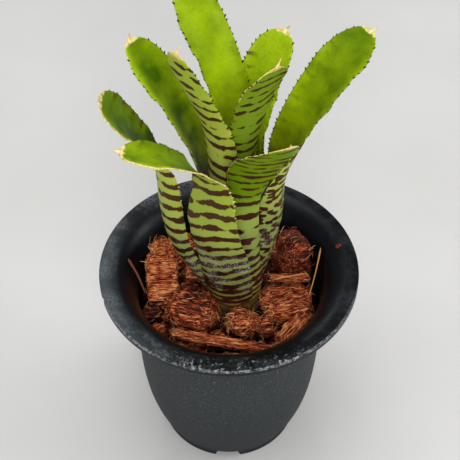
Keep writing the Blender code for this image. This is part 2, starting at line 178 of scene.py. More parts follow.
# The foot's notches: their turn and the run of their sloping ends are in degrees.
NOTCH_COUNT, NOTCH_WIDTH, NOTCH_HEIGHT, NOTCH_TURN, NOTCH_SLOPE = 4, 12.5, 3.6, -91.0, 1.3
DRAIN_COUNT, DRAIN_RING, DRAIN_RADIUS = 8, 21.0, 3.5
POT_SEGMENTS = 288
NICK_TURN, NICK_WIDTH, NICK_DEPTH = 198.0, 1.2, 0.8


def fade(value, start, span):
    """0 up to start, 1 from start + span on, and a straight rise between."""
    return np.clip((value - start) / span, 0.0, 1.0)


def circle(count):
    """Angles of even steps round a circle."""
    return 2 * np.pi * np.arange(count) / count


def body_radius(z):
    """Outside radius at height z: the neck radius less (neck - foot) times (1 - u) ^ fullness, where u runs
    from 0 at the foot ring's top to 1 at the neck."""
    climbed = fade(z, FOOT_RING_HEIGHT, NECK_Z - FOOT_RING_HEIGHT)
    return NECK_RADIUS - (NECK_RADIUS - FOOT_RADIUS) * (1.0 - climbed) ** BODY_FULLNESS


def arc(centre, radii, start, end, count):
    """Points of an ellipse's arc: centre + (radius x cos a, radius z sin a), with a in degrees."""
    a = np.radians(np.linspace(start, end, count))
    return np.stack([centre[0] + radii[0] * np.cos(a), centre[1] + radii[1] * np.sin(a)], 1)


def tube_faces(rows, columns):
    """Quads between neighbouring closed rings of vertices; they face out where the rings run
    counter-clockwise seen against the direction in which the rows go."""
    row, column = np.meshgrid(np.arange(rows - 1), np.arange(columns), indexing="ij")
    after = (column + 1) % columns
    return np.stack([row * columns + column, row * columns + after,
                     (row + 1) * columns + after, (row + 1) * columns + column], -1).reshape(-1, 4)


def capped_tube(rows, columns):
    """Faces of a closed tube: its quads, its first ring turned over and its last ring."""
    rings = np.arange(rows * columns).reshape(rows, columns)
    return tube_faces(rows, columns).tolist() + [rings[0, ::-1].tolist(), rings[-1].tolist()]


def shifted(faces, first):
    """Faces renumbered for points that come after others."""
    return [[v + first for v in face] for face in faces]


def put_mesh(name, points, faces, looks, look_of_face=None, attributes=None):
    """Smooth mesh object: points in mm, faces as lists of vertices, attributes with a value per point."""
    mesh = bpy.data.meshes.new(name)
    mesh.from_pydata((np.asarray(points) * MM).tolist(), [], faces)
    for look in looks:
        mesh.materials.append(look)
    if look_of_face is not None:
        mesh.polygons.foreach_set("material_index", look_of_face)
    for key, values in (attributes or {}).items():
        kind, field = ('FLOAT_VECTOR', "vector") if np.ndim(values) == 2 else ('FLOAT', "value")
        made = mesh.attributes.new(key, kind, 'POINT')
        made.data.foreach_set(field, np.ravel(values).astype(np.float32))
    mesh.shade_smooth()
    made = bpy.data.objects.new(name, mesh)
    bpy.context.collection.objects.link(made)
    return made


def hand_in(piece, slot, *nodes):
    """Let a piece ride on the plant's one body and stand for its CAD nodes, which it hides; slot is not used.
    """
    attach(piece, "root")
    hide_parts(*nodes)


def pot_section():
    """Closed half section (radius, height): under the floor, up the outside, round the lip, down inside."""
    foot_inner = FOOT_RADIUS - FOOT_RING_WIDTH
    under_floor = [[r, FLOOR_Z] for r in (*FLOOR_RINGS, foot_inner - 0.6)]
    under_floor += [[foot_inner, FLOOR_Z - 0.6], [foot_inner, 0.8], [foot_inner + 0.1, 0.3],
                    [foot_inner + 0.4, 0.0]]
    side_z = np.concatenate([[0.4, 1.0, 1.8, 2.5], np.linspace(3.5, NECK_Z, 48)])
    side = np.concatenate([[[FOOT_RADIUS - 0.4, 0.0]], np.stack([body_radius(side_z), side_z], 1)])
    under_reach = (RIM_RADIUS - 2.4 - NECK_RADIUS, POT_HEIGHT - WALL - 0.3 - NECK_Z)
    flare_under = arc((RIM_RADIUS - 2.4, NECK_Z), under_reach, 180, 92, 24)[1:]
    lip_z = POT_HEIGHT - LIP_DROP
    lip_back = [[RIM_RADIUS - 1.75, lip_z + 1.5], [RIM_RADIUS - 1.45, lip_z + 0.9]]
    lip_foot = np.concatenate([arc((RIM_RADIUS - 1.1, lip_z + 0.3), (0.3, 0.3), 180, 270, 5),
                               arc((RIM_RADIUS - 0.35, lip_z + 0.35), (0.35, 0.35), 270, 360, 5)])
    lip_top = arc((RIM_RADIUS - 0.8, POT_HEIGHT - 0.8), (0.8, 0.8), 0, 90, 8)
    over_reach = (RIM_RADIUS - 3.0 - NECK_RADIUS + WALL, POT_HEIGHT - NECK_Z)
    flare_over = arc((RIM_RADIUS - 3.0, NECK_Z), over_reach, 90, 180, 30)
    wall_z = np.linspace(NECK_Z, FLOOR_TOP + 1.0, 28)[1:]
    wall = np.stack([body_radius(wall_z) - WALL, wall_z], 1)
    over_floor = [[r, FLOOR_TOP] for r in (body_radius(FLOOR_TOP) - WALL - 0.9, *FLOOR_RINGS[::-1])]
    return np.concatenate([under_floor, side, flare_under, lip_back, lip_foot, lip_top, flare_over, wall,
                           over_floor])


def pot_surface():
    """The section turned about Z. Where a notch crosses the foot ring, heights are lifted by notch height x
    (1 - z / floor height) and keep to the body's slope; a small dent takes its depth off the lip's radius."""
    section = pot_section()
    turn = circle(POT_SEGMENTS)
    spacing = 360 / NOTCH_COUNT
    from_notch = np.abs((np.degrees(turn) - NOTCH_TURN + spacing / 2) % spacing - spacing / 2)
    half_notch = math.degrees(NOTCH_WIDTH / 2 / FOOT_RADIUS)
    notch = NOTCH_HEIGHT * fade(half_notch - from_notch, 0.0, NOTCH_SLOPE)
    height = section[:, 1:] + notch * np.clip(1 - section[:, 1:] / FLOOR_Z, 0, 1)
    dent = NICK_DEPTH * np.exp(-((np.degrees(turn) - NICK_TURN) / NICK_WIDTH) ** 2)
    lip_share = fade(section[:, :1] - RIM_RADIUS, -2.5, 1.5)
    radius = section[:, :1] + body_radius(height) - body_radius(section[:, 1:]) - dent * lip_share
    return len(section), np.stack([radius * np.cos(turn), radius * np.sin(turn), height], -1).reshape(-1, 3)


def bore(target, centres, radius, low, high):
    """Cut upright round holes through a mesh with a Boolean and put the result back on the object."""
    sides = 24
    turn = circle(sides)
    ring = np.stack([radius * np.cos(turn), radius * np.sin(turn), 0 * turn], 1)
    points = np.concatenate([ring + [x, y, z] for x, y in centres for z in (low, high)])
    faces = [face for k in range(len(centres)) for face in shifted(capped_tube(2, sides), 2 * sides * k)]
    cutter = put_mesh("drain_cutter", points, faces, [])
    cut = target.modifiers.new("drain_holes", 'BOOLEAN')
    cut.operation, cut.solver, cut.object = 'DIFFERENCE', 'EXACT', cutter
    finished = bpy.data.meshes.new_from_object(target.evaluated_get(bpy.context.evaluated_depsgraph_get()))
    target.modifiers.clear()
    target.data = finished
    bpy.data.objects.remove(cutter)


def remap(tree, value, start, end, low=0.0, high=1.0, curve='LINEAR'):
    """Value moved from the span start to end onto the span low to high, and kept within it."""
    return add(tree, "MapRange", {"Value": value, "From Min": start, "From Max": end, "To Min": low,
                                  "To Max": high}, interpolation_type=curve).outputs[0]


def maths(tree, operation, *terms):
    """Result of a maths operation on values or sockets."""
    return add(tree, "Math", dict(enumerate(terms)), operation=operation).outputs[0]


def product(tree, result, *factors):
    """Values or sockets multiplied one after the other."""
    for factor in factors:
        result = maths(tree, 'MULTIPLY', result, factor)
    return result


def blend(tree, share, first, second):
    """Mix of two colours, sockets or sRGB hex: share is the second one's part."""
    first, second = (linear(colour) if isinstance(colour, str) else colour for colour in (first, second))
    return add(tree, "Mix", {0: share, 6: first, 7: second}, data_type='RGBA').outputs[2]


def scaled(tree, place, factors):
    """A place multiplied axis by axis, which stretches the pattern that is read there."""
    return add(tree, "VectorMath", {0: place, 1: factors}, operation='MULTIPLY').outputs[0]


def axes(tree, vector):
    """The three parts of a vector."""
    return add(tree, "SeparateXYZ", {"Vector": vector}).outputs[:]


def attribute(tree, name, output="Fac"):
    """What the mesh carries at each point: its Fac is a value, its Vector three."""
    return add(tree, "Attribute", attribute_name=name).outputs[output]


def bump(tree, relief, strength, distance, normal=None):
    """Normal tilted by a relief: distance is its depth in metres."""
    below = {"Normal": normal} if normal else {}
    return add(tree, "Bump", {"Height": relief, "Strength": strength, "Distance": distance,
                              **below}).outputs["Normal"]


# Polypropylene with carbon black: satin where the mould was polished inside the rim, matt and faintly
# speckled on the body, which darkens towards the foot as painted shade, with potting dust and a painted sheen
# along the flare, a painted highlight along the front of the lip's edge and dried water marks on the front
# lip.
# The spans of height, radius, east and north are in metres, and those of noises are shares.
black_polypropylene, tree, shader = new_material("black_polypropylene", 0.45, 1.49)
shader.inputs["Specular IOR Level"].default_value = 0.18
place = object_place(tree)
east, north, height = axes(tree, place)
speck = noise(tree, place, 1100.0, 2.0, 0.6)
smear = noise(tree, place, 75.0, 7.0, 0.72, 0.3)
outward = scaled(tree, place, (1.0, 1.0, 0.0))
radius = add(tree, "VectorMath", {0: outward}, operation='LENGTH').outputs["Value"]
skin = ramp(tree, smear, (0.35, "#05080b"), (0.7, "#0c1015"))
grained = ramp(tree, speck, (0.3, "#2b3033"), (0.62, "#3a3e40"), (0.8, "#74746f"))
# Painted shade: the body darkens towards the foot.
matt = blend(tree, remap(tree, height, 0.065, 0.0, high=0.75), grained, "#1a1f21")
body_side = product(tree, remap(tree, height, 0.1065, 0.1055), attribute(tree, "outer"))
dust_and_sheen_at = product(tree, remap(tree, radius, 0.050, 0.058), remap(tree, height, 0.1080, 0.1090))
# Painted sheen: the flare is painted a lighter grey at its left, where the light falls on it from the right.
painted_left_sheen = product(tree, dust_and_sheen_at, remap(tree, east, -0.020, -0.056), remap(tree, north, 0.040, 0.005))
coloured = blend(tree, body_side, blend(tree, painted_left_sheen, skin, "#444b4f"), matt)
# Dust, partly a painted sheen, lies in clouds on the flare, thinner at the right, and shows the speckle
# through.
dust_and_sheen_side = remap(tree, east, 0.03, -0.03, 0.3)
dust_and_sheen = product(tree, dust_and_sheen_at, dust_and_sheen_side, remap(tree, smear, 0.46, 0.72), remap(tree, speck, 0.36, 0.62))
with_dust_and_sheen = blend(tree, dust_and_sheen, coloured, "#7c8284")
mark = noise(tree, place, 620.0, 3.0, 0.7)
rim_marks = product(tree, remap(tree, mark, 0.57, 0.69), remap(tree, north, -0.045, -0.058), dust_and_sheen_at)
marked = blend(tree, rim_marks, with_dust_and_sheen, "#b9bec0")
# Painted highlight: a pale broken line along the front of the lip's upper edge, where the lamps glint on its
# rounding.
painted_lip_highlight = product(tree, remap(tree, mark, 0.42, 0.66), remap(tree, height, 0.1085, 0.1089),
                 remap(tree, north, -0.012, -0.040), remap(tree, radius, 0.0592, 0.0595))
skin_bump = bump(tree, speck, 0.35, 0.00015)
wear(shader, blend(tree, painted_lip_highlight, marked, "#8f9597"), bump(tree, smear, 0.25, 0.0006, skin_bump))
gloss = remap(tree, smear, 0.3, 0.7, 0.24, 0.50)
matt_gloss = add(tree, "Mix", {0: body_side, 2: gloss, 3: 0.62}, data_type='FLOAT').outputs[0]
tree.links.new(matt_gloss, shader.inputs["Roughness"])

section_rows, pot_points = pot_surface()
outer_rows = np.arange(section_rows) < np.argmax(pot_section()[:, 0]) + 1
pot_faces = capped_tube(section_rows, POT_SEGMENTS)
nursery_pot = put_mesh("nursery_pot", pot_points, pot_faces, [black_polypropylene], attributes={
    "outer": np.repeat(outer_rows.astype(float), POT_SEGMENTS)})
drain_centres = [(0.0, 0.0)] + [(DRAIN_RING * math.cos(a), DRAIN_RING * math.sin(a))
                                for a in circle(DRAIN_COUNT)]
bore(nursery_pot, drain_centres, DRAIN_RADIUS, FLOOR_Z - 2.0, FLOOR_TOP + 2.0)
nursery_pot.data.shade_smooth()
nursery_pot.data.set_sharp_from_angle(angle=math.radians(50))
hand_in(nursery_pot, "pot_plastic", "pot")

# ---------------------------------------------------------------------------------------------------
# Husk bed: chopped coconut husk pressed down around the roots, damp and painted dark as shade between the
# chips, with loose crumbs and thin fibres lying in the gaps between the big chips.
BED_TOP = 82.3
BED_ROWS, BED_SEGMENTS = 46, 150
BED_EDGE = 0.7
CRUMB_COUNT = 520
LITTER_COUNT = 330
LITTER_REACH = 41.0
# Sizes in mm: the smallest crumb and what the largest adds to it, and the loose fibres' spans.
CRUMB_SMALLEST, CRUMB_GROWTH = 0.5, 2.1
LITTER_LENGTH, LITTER_RADIUS = (2.5, 9.0), (0.07, 0.15)
# A crumb's length, breadth and thickness as shares of its size.
CRUMB_SHAPE = (1.0, 0.7, 0.55)
# One crumb has jumped out onto the rim's flare: its x, y and size.
STRAY_CRUMB = (51.5, 12.6, 1.3)


def crumple(points, wave_mm, seed, stretch=(1.0, 1.0, 1.0)):
    """Smooth noise of unit spread: a sum of sine waves, each the sine of the point along a random direction
    over 1.7 wave lengths, plus a random start, divided by the root of half their count."""
    source, count = np.random.default_rng(seed), 28
    waves = source.normal(size=(count, 3)) * 2 * np.pi / (wave_mm * np.asarray(stretch) * 1.7)
    return np.sin(points @ waves.T + source.uniform(0, 2 * np.pi, count)).sum(1) / math.sqrt(count / 2)


def bed_height(x, y):
    """Height of the bed's top: its level plus lumps 9 mm and 3 mm wide, falling 2 mm towards the wall."""
    flat = np.stack([x, y, 0 * x], -1).reshape(-1, 3)
    lumps = 0.75 * crumple(flat, 9.0, 5) + 0.45 * crumple(flat, 3.2, 6)
    return BED_TOP + np.clip(lumps, -1.8, 1.8).reshape(np.shape(x)) - 2.0 * (np.hypot(x, y) / 42.0) ** 4


def soft_block(grid, power):
    """Unit block with rounded edges: points of a cube's gridded faces, each divided by its own power-norm."""
    steps = np.linspace(-1.0, 1.0, grid)
    u, v = np.meshgrid(steps, steps, indexing="ij")
    one = np.ones_like(u)
    sides = [(one, u, v), (-one, v, u), (v, one, u), (u, -one, v), (u, v, one), (v, u, -one)]
    points = np.concatenate([np.stack(side, -1).reshape(-1, 3) for side in sides])
    k = np.arange(grid * grid).reshape(grid, grid)
    quads = np.stack([k[:-1, :-1], k[1:, :-1], k[1:, 1:], k[:-1, 1:]], -1).reshape(-1, 4)
    faces = np.concatenate([quads + side * grid * grid for side in range(6)])
    _, first, where = np.unique(np.round(points, 6), axis=0, return_index=True, return_inverse=True)
    points = points[first]
    norm = (np.abs(points) ** power).sum(1) ** (1 / power)
    points = points / norm[:, None]
    normals = np.sign(points) * np.abs(points) ** (power - 1)
    return points, normals / np.linalg.norm(normals, axis=1)[:, None], np.ravel(where)[faces]


def strand_tubes(starts, middles, ends, radii, rings=6, sides=3):
    """Thin tubes along quadratic curves (1-t)^2 start + 2t(1-t) middle + t^2 end, tapering to both ends.
    Returns points, faces and a random shade for each point."""
    count = len(starts)
    t = np.linspace(0, 1, rings)[None, :, None]
    path = (1 - t) ** 2 * starts[:, None] + 2 * t * (1 - t) * middles[:, None] + t ** 2 * ends[:, None]
    heading = 2 * (1 - t) * (middles - starts)[:, None] + 2 * t * (ends - middles)[:, None]
    heading /= np.linalg.norm(heading, axis=2, keepdims=True) + 1e-9
    first = np.cross(heading, [0.31, 0.52, 0.79])
    first /= np.linalg.norm(first, axis=2, keepdims=True) + 1e-9
    second = np.cross(heading, first)
    turn = circle(sides)
    girth = radii[:, None, None] * (0.35 + 0.65 * np.sin(np.pi * np.clip(t, 0.04, 0.96)) ** 0.5)
    points = (path[:, :, None] + girth[..., None] * (first[:, :, None] * np.cos(turn)[:, None]
                                                     + second[:, :, None] * np.sin(turn)[:, None]))
    each = rings * sides
    faces = (tube_faces(rings, sides)[None] + each * np.arange(count)[:, None, None]).reshape(-1, 4).tolist()
    start_cap = np.arange(sides)[::-1][None] + each * np.arange(count)[:, None]
    end_cap = np.arange(each - sides, each)[None] + each * np.arange(count)[:, None]
    shade = np.repeat(np.random.default_rng(count).uniform(0, 1, count), each)
    return points.reshape(-1, 3), faces + start_cap.tolist() + end_cap.tolist(), shade


def husk_material(name, *stops):
    """Coconut husk: fibres 0.3 to 0.6 mm wide run along its grain, the first axis; its pits are painted
    darker as shade.
    """
    made, tree, shader = new_material(name, 0.62, 1.5)
    shader.inputs["Specular IOR Level"].default_value = 0.25
    grain = attribute(tree, "grain_mm", "Vector")
    fibre = noise(tree, scaled(tree, grain, (0.17, 1.9, 1.9)), 1.0, 4.0, 0.72, 0.8)
    patch = noise(tree, grain, 0.2, 3.0)
    lit = -2.48
    for part, gain in ((fibre, 4.8), (attribute(tree, "relief"), 0.16), (patch, 0.95)):
        lit = maths(tree, 'MULTIPLY_ADD', part, gain, lit)
    lit = maths(tree, 'ADD', lit, attribute(tree, "tone"))
    wear(shader, ramp(tree, lit, *stops), bump(tree, fibre, 1.0, 0.0008))
    tree.links.new(remap(tree, patch, 0.35, 0.65, 0.38, 0.7), shader.inputs["Roughness"])
    return made


# Husk in painted shade: a darker copy of the husk for the bed and its crumbs between the chips, nearly black
# in the pits, red-brown on the fibres' crowns.
shaded_husk = husk_material("husk_in_painted_shade", (0.0, "#060201"), (0.35, "#2e0a04"), (0.65, "#70240f"),
                          (1.0, "#b65a2c"))
# Loose coir: single fibres, from red-brown where damp to straw where dry.
loose_coir, tree, shader = new_material("loose_coir_fibre", 0.6, 1.5)
wear(shader, ramp(tree, attribute(tree, "shade"), (0.0, "#6e2610"), (0.4, "#ad5220"), (0.7, "#d88a42"),
                  (1.0, "#f6cc8c")))

turn = circle(BED_SEGMENTS)
bed_radii = np.linspace(0.6, body_radius(BED_TOP) - WALL - BED_EDGE, BED_ROWS)[::-1]
side_z = np.linspace(FLOOR_TOP + 1.0, BED_TOP - 4.5, 12)
side_rings = np.stack([body_radius(side_z) - WALL - BED_EDGE, side_z], 1)
under_rings = np.array([[1.0, FLOOR_TOP + 0.6], [15.0, FLOOR_TOP + 0.6], [30.0, FLOOR_TOP + 0.6]])
ring_radius = np.concatenate([under_rings[:, 0], side_rings[:, 0], bed_radii])[:, None]
bed_x, bed_y = ring_radius * np.cos(turn), ring_radius * np.sin(turn)
fixed_z = np.concatenate([under_rings[:, 1], side_rings[:, 1]])[:, None] * np.ones_like(turn)
bed_z = np.concatenate([fixed_z, bed_height(bed_x[-BED_ROWS:], bed_y[-BED_ROWS:])])
bed_points = np.stack([bed_x, bed_y, bed_z], -1).reshape(-1, 3)
bed_faces = capped_tube(len(ring_radius), BED_SEGMENTS)
# Painted shade: a tone of -0.30 darkens the whole bed, and its relief darkens the dips between its lumps.
husk_bed = put_mesh("packed_husk_bed", bed_points, bed_faces, [shaded_husk], attributes={
    "grain_mm": bed_points, "relief": (bed_points[:, 2] - BED_TOP) / 1.5,
    "tone": np.full(len(bed_points), -0.30)})
hand_in(husk_bed, "husk_bed", "husk_bed")


def scatter(count, seed, reach):
    """Even random places on the bed round the pot's axis: radius = reach x square root of a share."""
    source = np.random.default_rng(seed)
    distance = reach * np.sqrt(source.uniform(0.02, 1, count))
    angle = source.uniform(0, 2 * np.pi, count)
    return source, distance * np.cos(angle), distance * np.sin(angle)


source, x, y = scatter(CRUMB_COUNT, 11, LITTER_REACH)
unit, _, unit_faces = soft_block(4, 3.0)
crumb_size = CRUMB_SMALLEST + CRUMB_GROWTH * source.uniform(0, 1, CRUMB_COUNT) ** 2.2
x[0], y[0], crumb_size[0] = STRAY_CRUMB
stretch = source.uniform(0.6, 1.5, (CRUMB_COUNT, 1, 3)) * crumb_size[:, None, None]
jolt = 1 + 0.16 * source.normal(size=(CRUMB_COUNT, len(unit), 1))
spin = source.uniform(0, 2 * np.pi, CRUMB_COUNT)[:, None]
crumb = unit[None] * jolt * stretch * CRUMB_SHAPE
crumb_x = x[:, None] + crumb[..., 0] * np.cos(spin) - crumb[..., 1] * np.sin(spin)
crumb_y = y[:, None] + crumb[..., 0] * np.sin(spin) + crumb[..., 1] * np.cos(spin)
crumb_z = bed_height(x, y)[:, None] + crumb_size[:, None] * 0.3 + crumb[..., 2]
crumb_z[0] += POT_HEIGHT - 0.6 - crumb_z[0].mean()
crumb_points = np.stack([crumb_x, crumb_y, crumb_z], -1).reshape(-1, 3)
crumb_faces = (unit_faces[None] + len(unit) * np.arange(CRUMB_COUNT)[:, None, None]).reshape(-1, 4).tolist()
crumb_tone = np.repeat(source.uniform(-0.22, 0.30, CRUMB_COUNT), len(unit))
husk_crumbs = put_mesh("loose_husk_crumbs", crumb_points, crumb_faces, [shaded_husk], attributes={
    "grain_mm": crumb.reshape(-1, 3) + 3.0 * np.repeat(x, len(unit))[:, None], "relief": 0 * crumb_tone,
    "tone": crumb_tone})
hand_in(husk_crumbs, "husk_bed", "husk_bed")

source, x, y = scatter(LITTER_COUNT, 12, LITTER_REACH)
litter_start = np.stack([x, y, bed_height(x, y) + 0.2], 1)
litter_angle = source.uniform(0, 2 * np.pi, LITTER_COUNT)
litter_length = source.uniform(*LITTER_LENGTH, LITTER_COUNT)[:, None]
litter_climb = source.uniform(-0.02, 0.35, LITTER_COUNT)
litter_way = np.stack([np.cos(litter_angle), np.sin(litter_angle), litter_climb], 1)
litter_end = litter_start + litter_way * litter_length
reach_out = np.hypot(litter_end[:, 0], litter_end[:, 1])
litter_end[:, :2] *= np.minimum(1, (LITTER_REACH + 0.5) / reach_out)[:, None]
litter_sway = source.normal(size=(LITTER_COUNT, 3)) * (0.9, 0.9, 0.5)
litter_middle = (litter_start + litter_end) / 2 + litter_sway + (0, 0, 0.9)
litter_points, litter_faces, litter_shade = strand_tubes(litter_start, litter_middle, litter_end,
                                                         source.uniform(*LITTER_RADIUS, LITTER_COUNT))
coir_litter = put_mesh("coir_litter", litter_points, litter_faces, [loose_coir],
                       attributes={"shade": litter_shade})
hand_in(coir_litter, "husk_bed", "husk_bed")

# ---------------------------------------------------------------------------------------------------
# Stem: the short woody stem that carries the leaves. It stands in the bed under the leaf bases, so the
# CAD solid stays as it is and only takes a fibrous brown bark.
stem_bark, tree, shader = new_material("fibrous_stem_bark", 0.8, 1.5)
bark = noise(tree, scaled(tree, object_place(tree), (1400.0, 1400.0, 160.0)), 1.0, 3.0)
wear(shader, ramp(tree, bark, (0.3, "#2a1a0c"), (0.6, "#6b4a26"), (0.8, "#8f7440")),
     bump(tree, bark, 0.8, 0.0004))
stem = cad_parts["stem"]
stem.data.materials.clear()
stem.data.materials.append(stem_bark)

# ---------------------------------------------------------------------------------------------------
# Leaves: nine stiff, waxy straps that grow from the stem and clasp each other into a tube that holds
# water. They are banded maroon outside, spined along both margins and end in a pale horny point.
STEM_LOW, STEM_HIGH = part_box("stem")
PLANT_AXIS = ((STEM_LOW.x + STEM_HIGH.x) / 2 / MM, (STEM_LOW.y + STEM_HIGH.y) / 2 / MM)
LEAF_BASE_Z = STEM_HIGH.z / MM + 0.4
LEAF_STEPS, LEAF_LANES = 190, 35
# Thickness along the middle at the foot and at the margins, and the share that the middle loses to the tip.
LEAF_MIDDLE_MM, LEAF_MARGIN_MM, LEAF_THINNING = 1.0, 0.28, 0.35
# The outline's tip starts at a share of the length. Its half width falls by the root of 1 - u ^ power, where
# u stops short of 1 so that the tip keeps some width.
TIP_START, TIP_STOP, TIP_POWER = 0.86, 0.992, 2.2
# Ripples of the margins: their wave lengths and heights in mm.
RIPPLE_WAVES, RIPPLE_HEIGHTS = (23.0, 11.0, 6.1), (0.30, 0.26, 0.10)
# Teeth: where they start along the margin, their spacing, length and the depth of their roots in mm, then
# their half width, half thickness, reach and lean as shares of that length.
TOOTH_START, TOOTH_SPACING, TOOTH_LENGTH, TOOTH_ROOT = 68, 2.9, 1.05, 0.25
TOOTH_HALF_WIDE, TOOTH_HALF_THICK, TOOTH_REACH, TOOTH_LEAN = 0.62, 0.36, 0.8, 0.55
TOOTH_SIDES = 5
# Tip horn in mm: its length, how deep it sits in the blade, its bend, half width and half thickness.
HORN_LENGTH, HORN_ROOT, HORN_BEND, HORN_HALF_WIDE, HORN_HALF_THICK = 4.2, 1.6, 2.6, 1.4, 0.42
HORN_RINGS, HORN_SIDES = 12, 8
# The throat, where the upper side turns from painted shade deep in the tube to green, lies at this share of
# its colours' ramps.
THROAT_RAMP_PLACE = 0.46
# Spacing of the bands in mm: at the foot, what the sheath adds to it and what the blade takes off again.
BAND_AT_FOOT, BAND_GAIN, BAND_LOSS = 3.6, 4.2, 1.4
# From leaf to leaf the bands start this share of a band later, and the noises are read this much further on.
BAND_SHIFT, NOISE_SHIFT = 0.11, 31.7
HEADING_AT = (0.0, 0.4, 0.7, 1.0)
RISE_AT = (0.0, 0.22, 0.42, 0.6, 0.8, 1.0)
TWIST_AT = (0.0, 0.5, 1.0)
WIDTH_AT = (0.0, 0.12, 0.28, 0.5, 0.72, 1.0)
CUP_AT = (0.0, 0.3, 0.55, 0.8, 1.0)
# Growth of each leaf, outermost first: where it starts (azimuth and ring about the stem), its length, then
# heading, rise, twist and cup in degrees and half width in mm at the shares of its length above.
# Then its finish: green is 0 deep to 1 lime, less its second value in the channel as painted shade and more
# towards the tip by its third; blotching breaks bands into islands; scurf is silver grey; straw is how many
# mm dry tissue runs in from the tip, and the share where it starts along the margins; pale_margins and marks
# are for the clockwise and the counter-clockwise margin; under is how green the blade's under side is; throat
# is the share where the upper side turns from painted shade deep in the tube to green; skew slants the bands;
# pace scales their spacing; hook bends the point along and off the blade. A leaf that gives no throat or skew
# has the usual one.
LEAF_USUAL = {"throat": 0.48, "skew": 0.0}
LEAVES = {
    "leaf_front_left": dict(
        azimuth=259, ring=11.6, length=143, heading=(257, 226, 208, 175),
        rise=(67, 81, 75, 93, 42, 7), twist=(22, 5),
        half_width=(11.8, 12.5, 12.2, 10.3), cup=(52, 29, 19, 22, 12),
        green=(0.30, 0.0, 0.0), blotching=0.1, scurf=1.0, straw=(3.0, 0.66), pale_margins=(0.0, 1.0),
        marks=(0.59, 0.5), under=0.55, skew=0.36, pace=0.98, hook=(0.2, 0.5)),
    "leaf_front_right": dict(
        azimuth=292, ring=10.7, length=139, heading=(290, 297, 289, 322),
        rise=(72, 93, 95, 72, 55, 50), twist=(-12, -20),
        half_width=(10.6, 7.4, 6.7, 10.7), cup=(58, 32, 21, 17, 7),
        green=(0.50, 0.0, 0.0), blotching=0.35, scurf=0.15, straw=(2.5, 0.5), pale_margins=(0.4, 0.4),
        marks=(0.6, 0.6), under=1.0, pace=0.88, hook=(-0.6, 0.3)),
    "leaf_far_left": dict(
        azimuth=192, ring=10.2, length=136, heading=(200, 182, 181, 191),
        rise=(68, 64, 82, 88, 60, 60), twist=(26, -17),
        half_width=(11.5, 11.3, 11.3, 11.7), cup=(62, 67, 65, 38, 4),
        green=(0.02, 0.04, 0.12), blotching=0.2, scurf=0.9, straw=(2.5, 0.8), pale_margins=(0.0, 0.8),
        marks=(0.85, 0.8), under=0.35, skew=0.1, pace=0.9, hook=(0.3, 0.9)),
    "leaf_right": dict(
        azimuth=10, ring=8.9, length=153, heading=(8, -7, 34, 29),
        rise=(74, 78, 89, 75, 52, 35), twist=(-9, 3),
        half_width=(16.2, 15.0, 13.6, 11.9), cup=(65, 87, 74, 32, 7),
        green=(0.64, 0.10, -0.34), blotching=1.0, scurf=0.4, straw=(2.4, 0.9), pale_margins=(0.3, 0.2),
        marks=(0.55, 0.6), under=0.15, throat=0.50, pace=0.75, hook=(-0.8, 0.5)),
    "leaf_back_left": dict(
        azimuth=150, ring=8.0, length=142, heading=(157, 156, 154, 148),
        rise=(76, 86, 84, 71, 59, 46), twist=(12, -7),
        half_width=(13.9, 12.8, 11.6, 10.4), cup=(65, 59, 47, 30, 18),
        green=(0.64, 0.50, -0.04), blotching=0.3, scurf=0.3, straw=(2.4, 0.88), pale_margins=(0.0, 0.5),
        marks=(0.6, 0.3), under=0.5, throat=0.50, pace=0.9, hook=(-0.4, 0.9)),
    "leaf_back_right": dict(
        azimuth=55, ring=7.1, length=138, heading=(53, 72, 60, 48),
        rise=(81, 86, 86, 84, 66, 44), twist=(-17, 2),
        half_width=(12.8, 12.2, 11.5, 11.3), cup=(70, 63, 59, 40, 19),
        green=(1.0, 0.0, -0.14), blotching=0.4, scurf=0.2, straw=(2.2, 0.9), pale_margins=(0.1, 0.1),
        marks=(0.5, 0.9), under=0.5, pace=0.8, hook=(-0.7, 0.5)),
    "leaf_back": dict(
        azimuth=97, ring=6.2, length=163, heading=(93, 93, 128, 137),
        rise=(86, 86, 90, 77, 57, 62), twist=(-2, -12),
        half_width=(11.5, 11.8, 11.0, 10.5), cup=(75, 67, 66, 40, 12),
        green=(0.70, 0.0, -0.10), blotching=0.3, scurf=0.2, straw=(1.6, 0.9), pale_margins=(0.0, 0.0),
        marks=(0.3, 0.2), under=0.5, pace=0.9, hook=(0.2, 0.6)),
    "leaf_inner_left": dict(
        azimuth=225, ring=5.3, length=158, heading=(221, 226, 215, 205),
        rise=(83, 87, 87, 85, 69, 80), twist=(5, 17),
        half_width=(9.7, 9.9, 10.2, 10.4), cup=(85, 73, 49, 27, 10),
        green=(0.62, 0.0, 0.0), blotching=0.5, scurf=0.1, straw=(3.0, 0.8), pale_margins=(0.4, 0.2),
        marks=(0.6, 0.6), under=0.15, pace=0.86, hook=(0.7, 0.8)),
    "leaf_inner_right": dict(
        azimuth=320, ring=4.4, length=148, heading=(317, 317, 313, 326),
        rise=(91, 90, 88, 85, 78, 63), twist=(5, -19),
        half_width=(8.3, 9.6, 10.3, 10.6), cup=(85, 73, 55, 29, -4),
        green=(0.62, 0.0, 0.0), blotching=0.5, scurf=0.05, straw=(2.6, 0.8), pale_margins=(0.4, 0.2),
        marks=(0.6, 0.6), under=0.85, pace=0.70, hook=(0.8, 0.8)),
}


def end_tangent(steps, slopes):
    """Slope at an end knot: ((2a + b) s - a t) / (a + b), limited, for two spans a, b with slopes s, t."""
    slope = ((2 * steps[0] + steps[1]) * slopes[0] - steps[0] * slopes[1]) / (steps[0] + steps[1])
    if slope * slopes[0] <= 0.0:
        return 0.0
    if slopes[0] * slopes[1] <= 0.0 and abs(slope) > 3 * abs(slopes[0]):
        return 3 * slopes[0]
    return slope


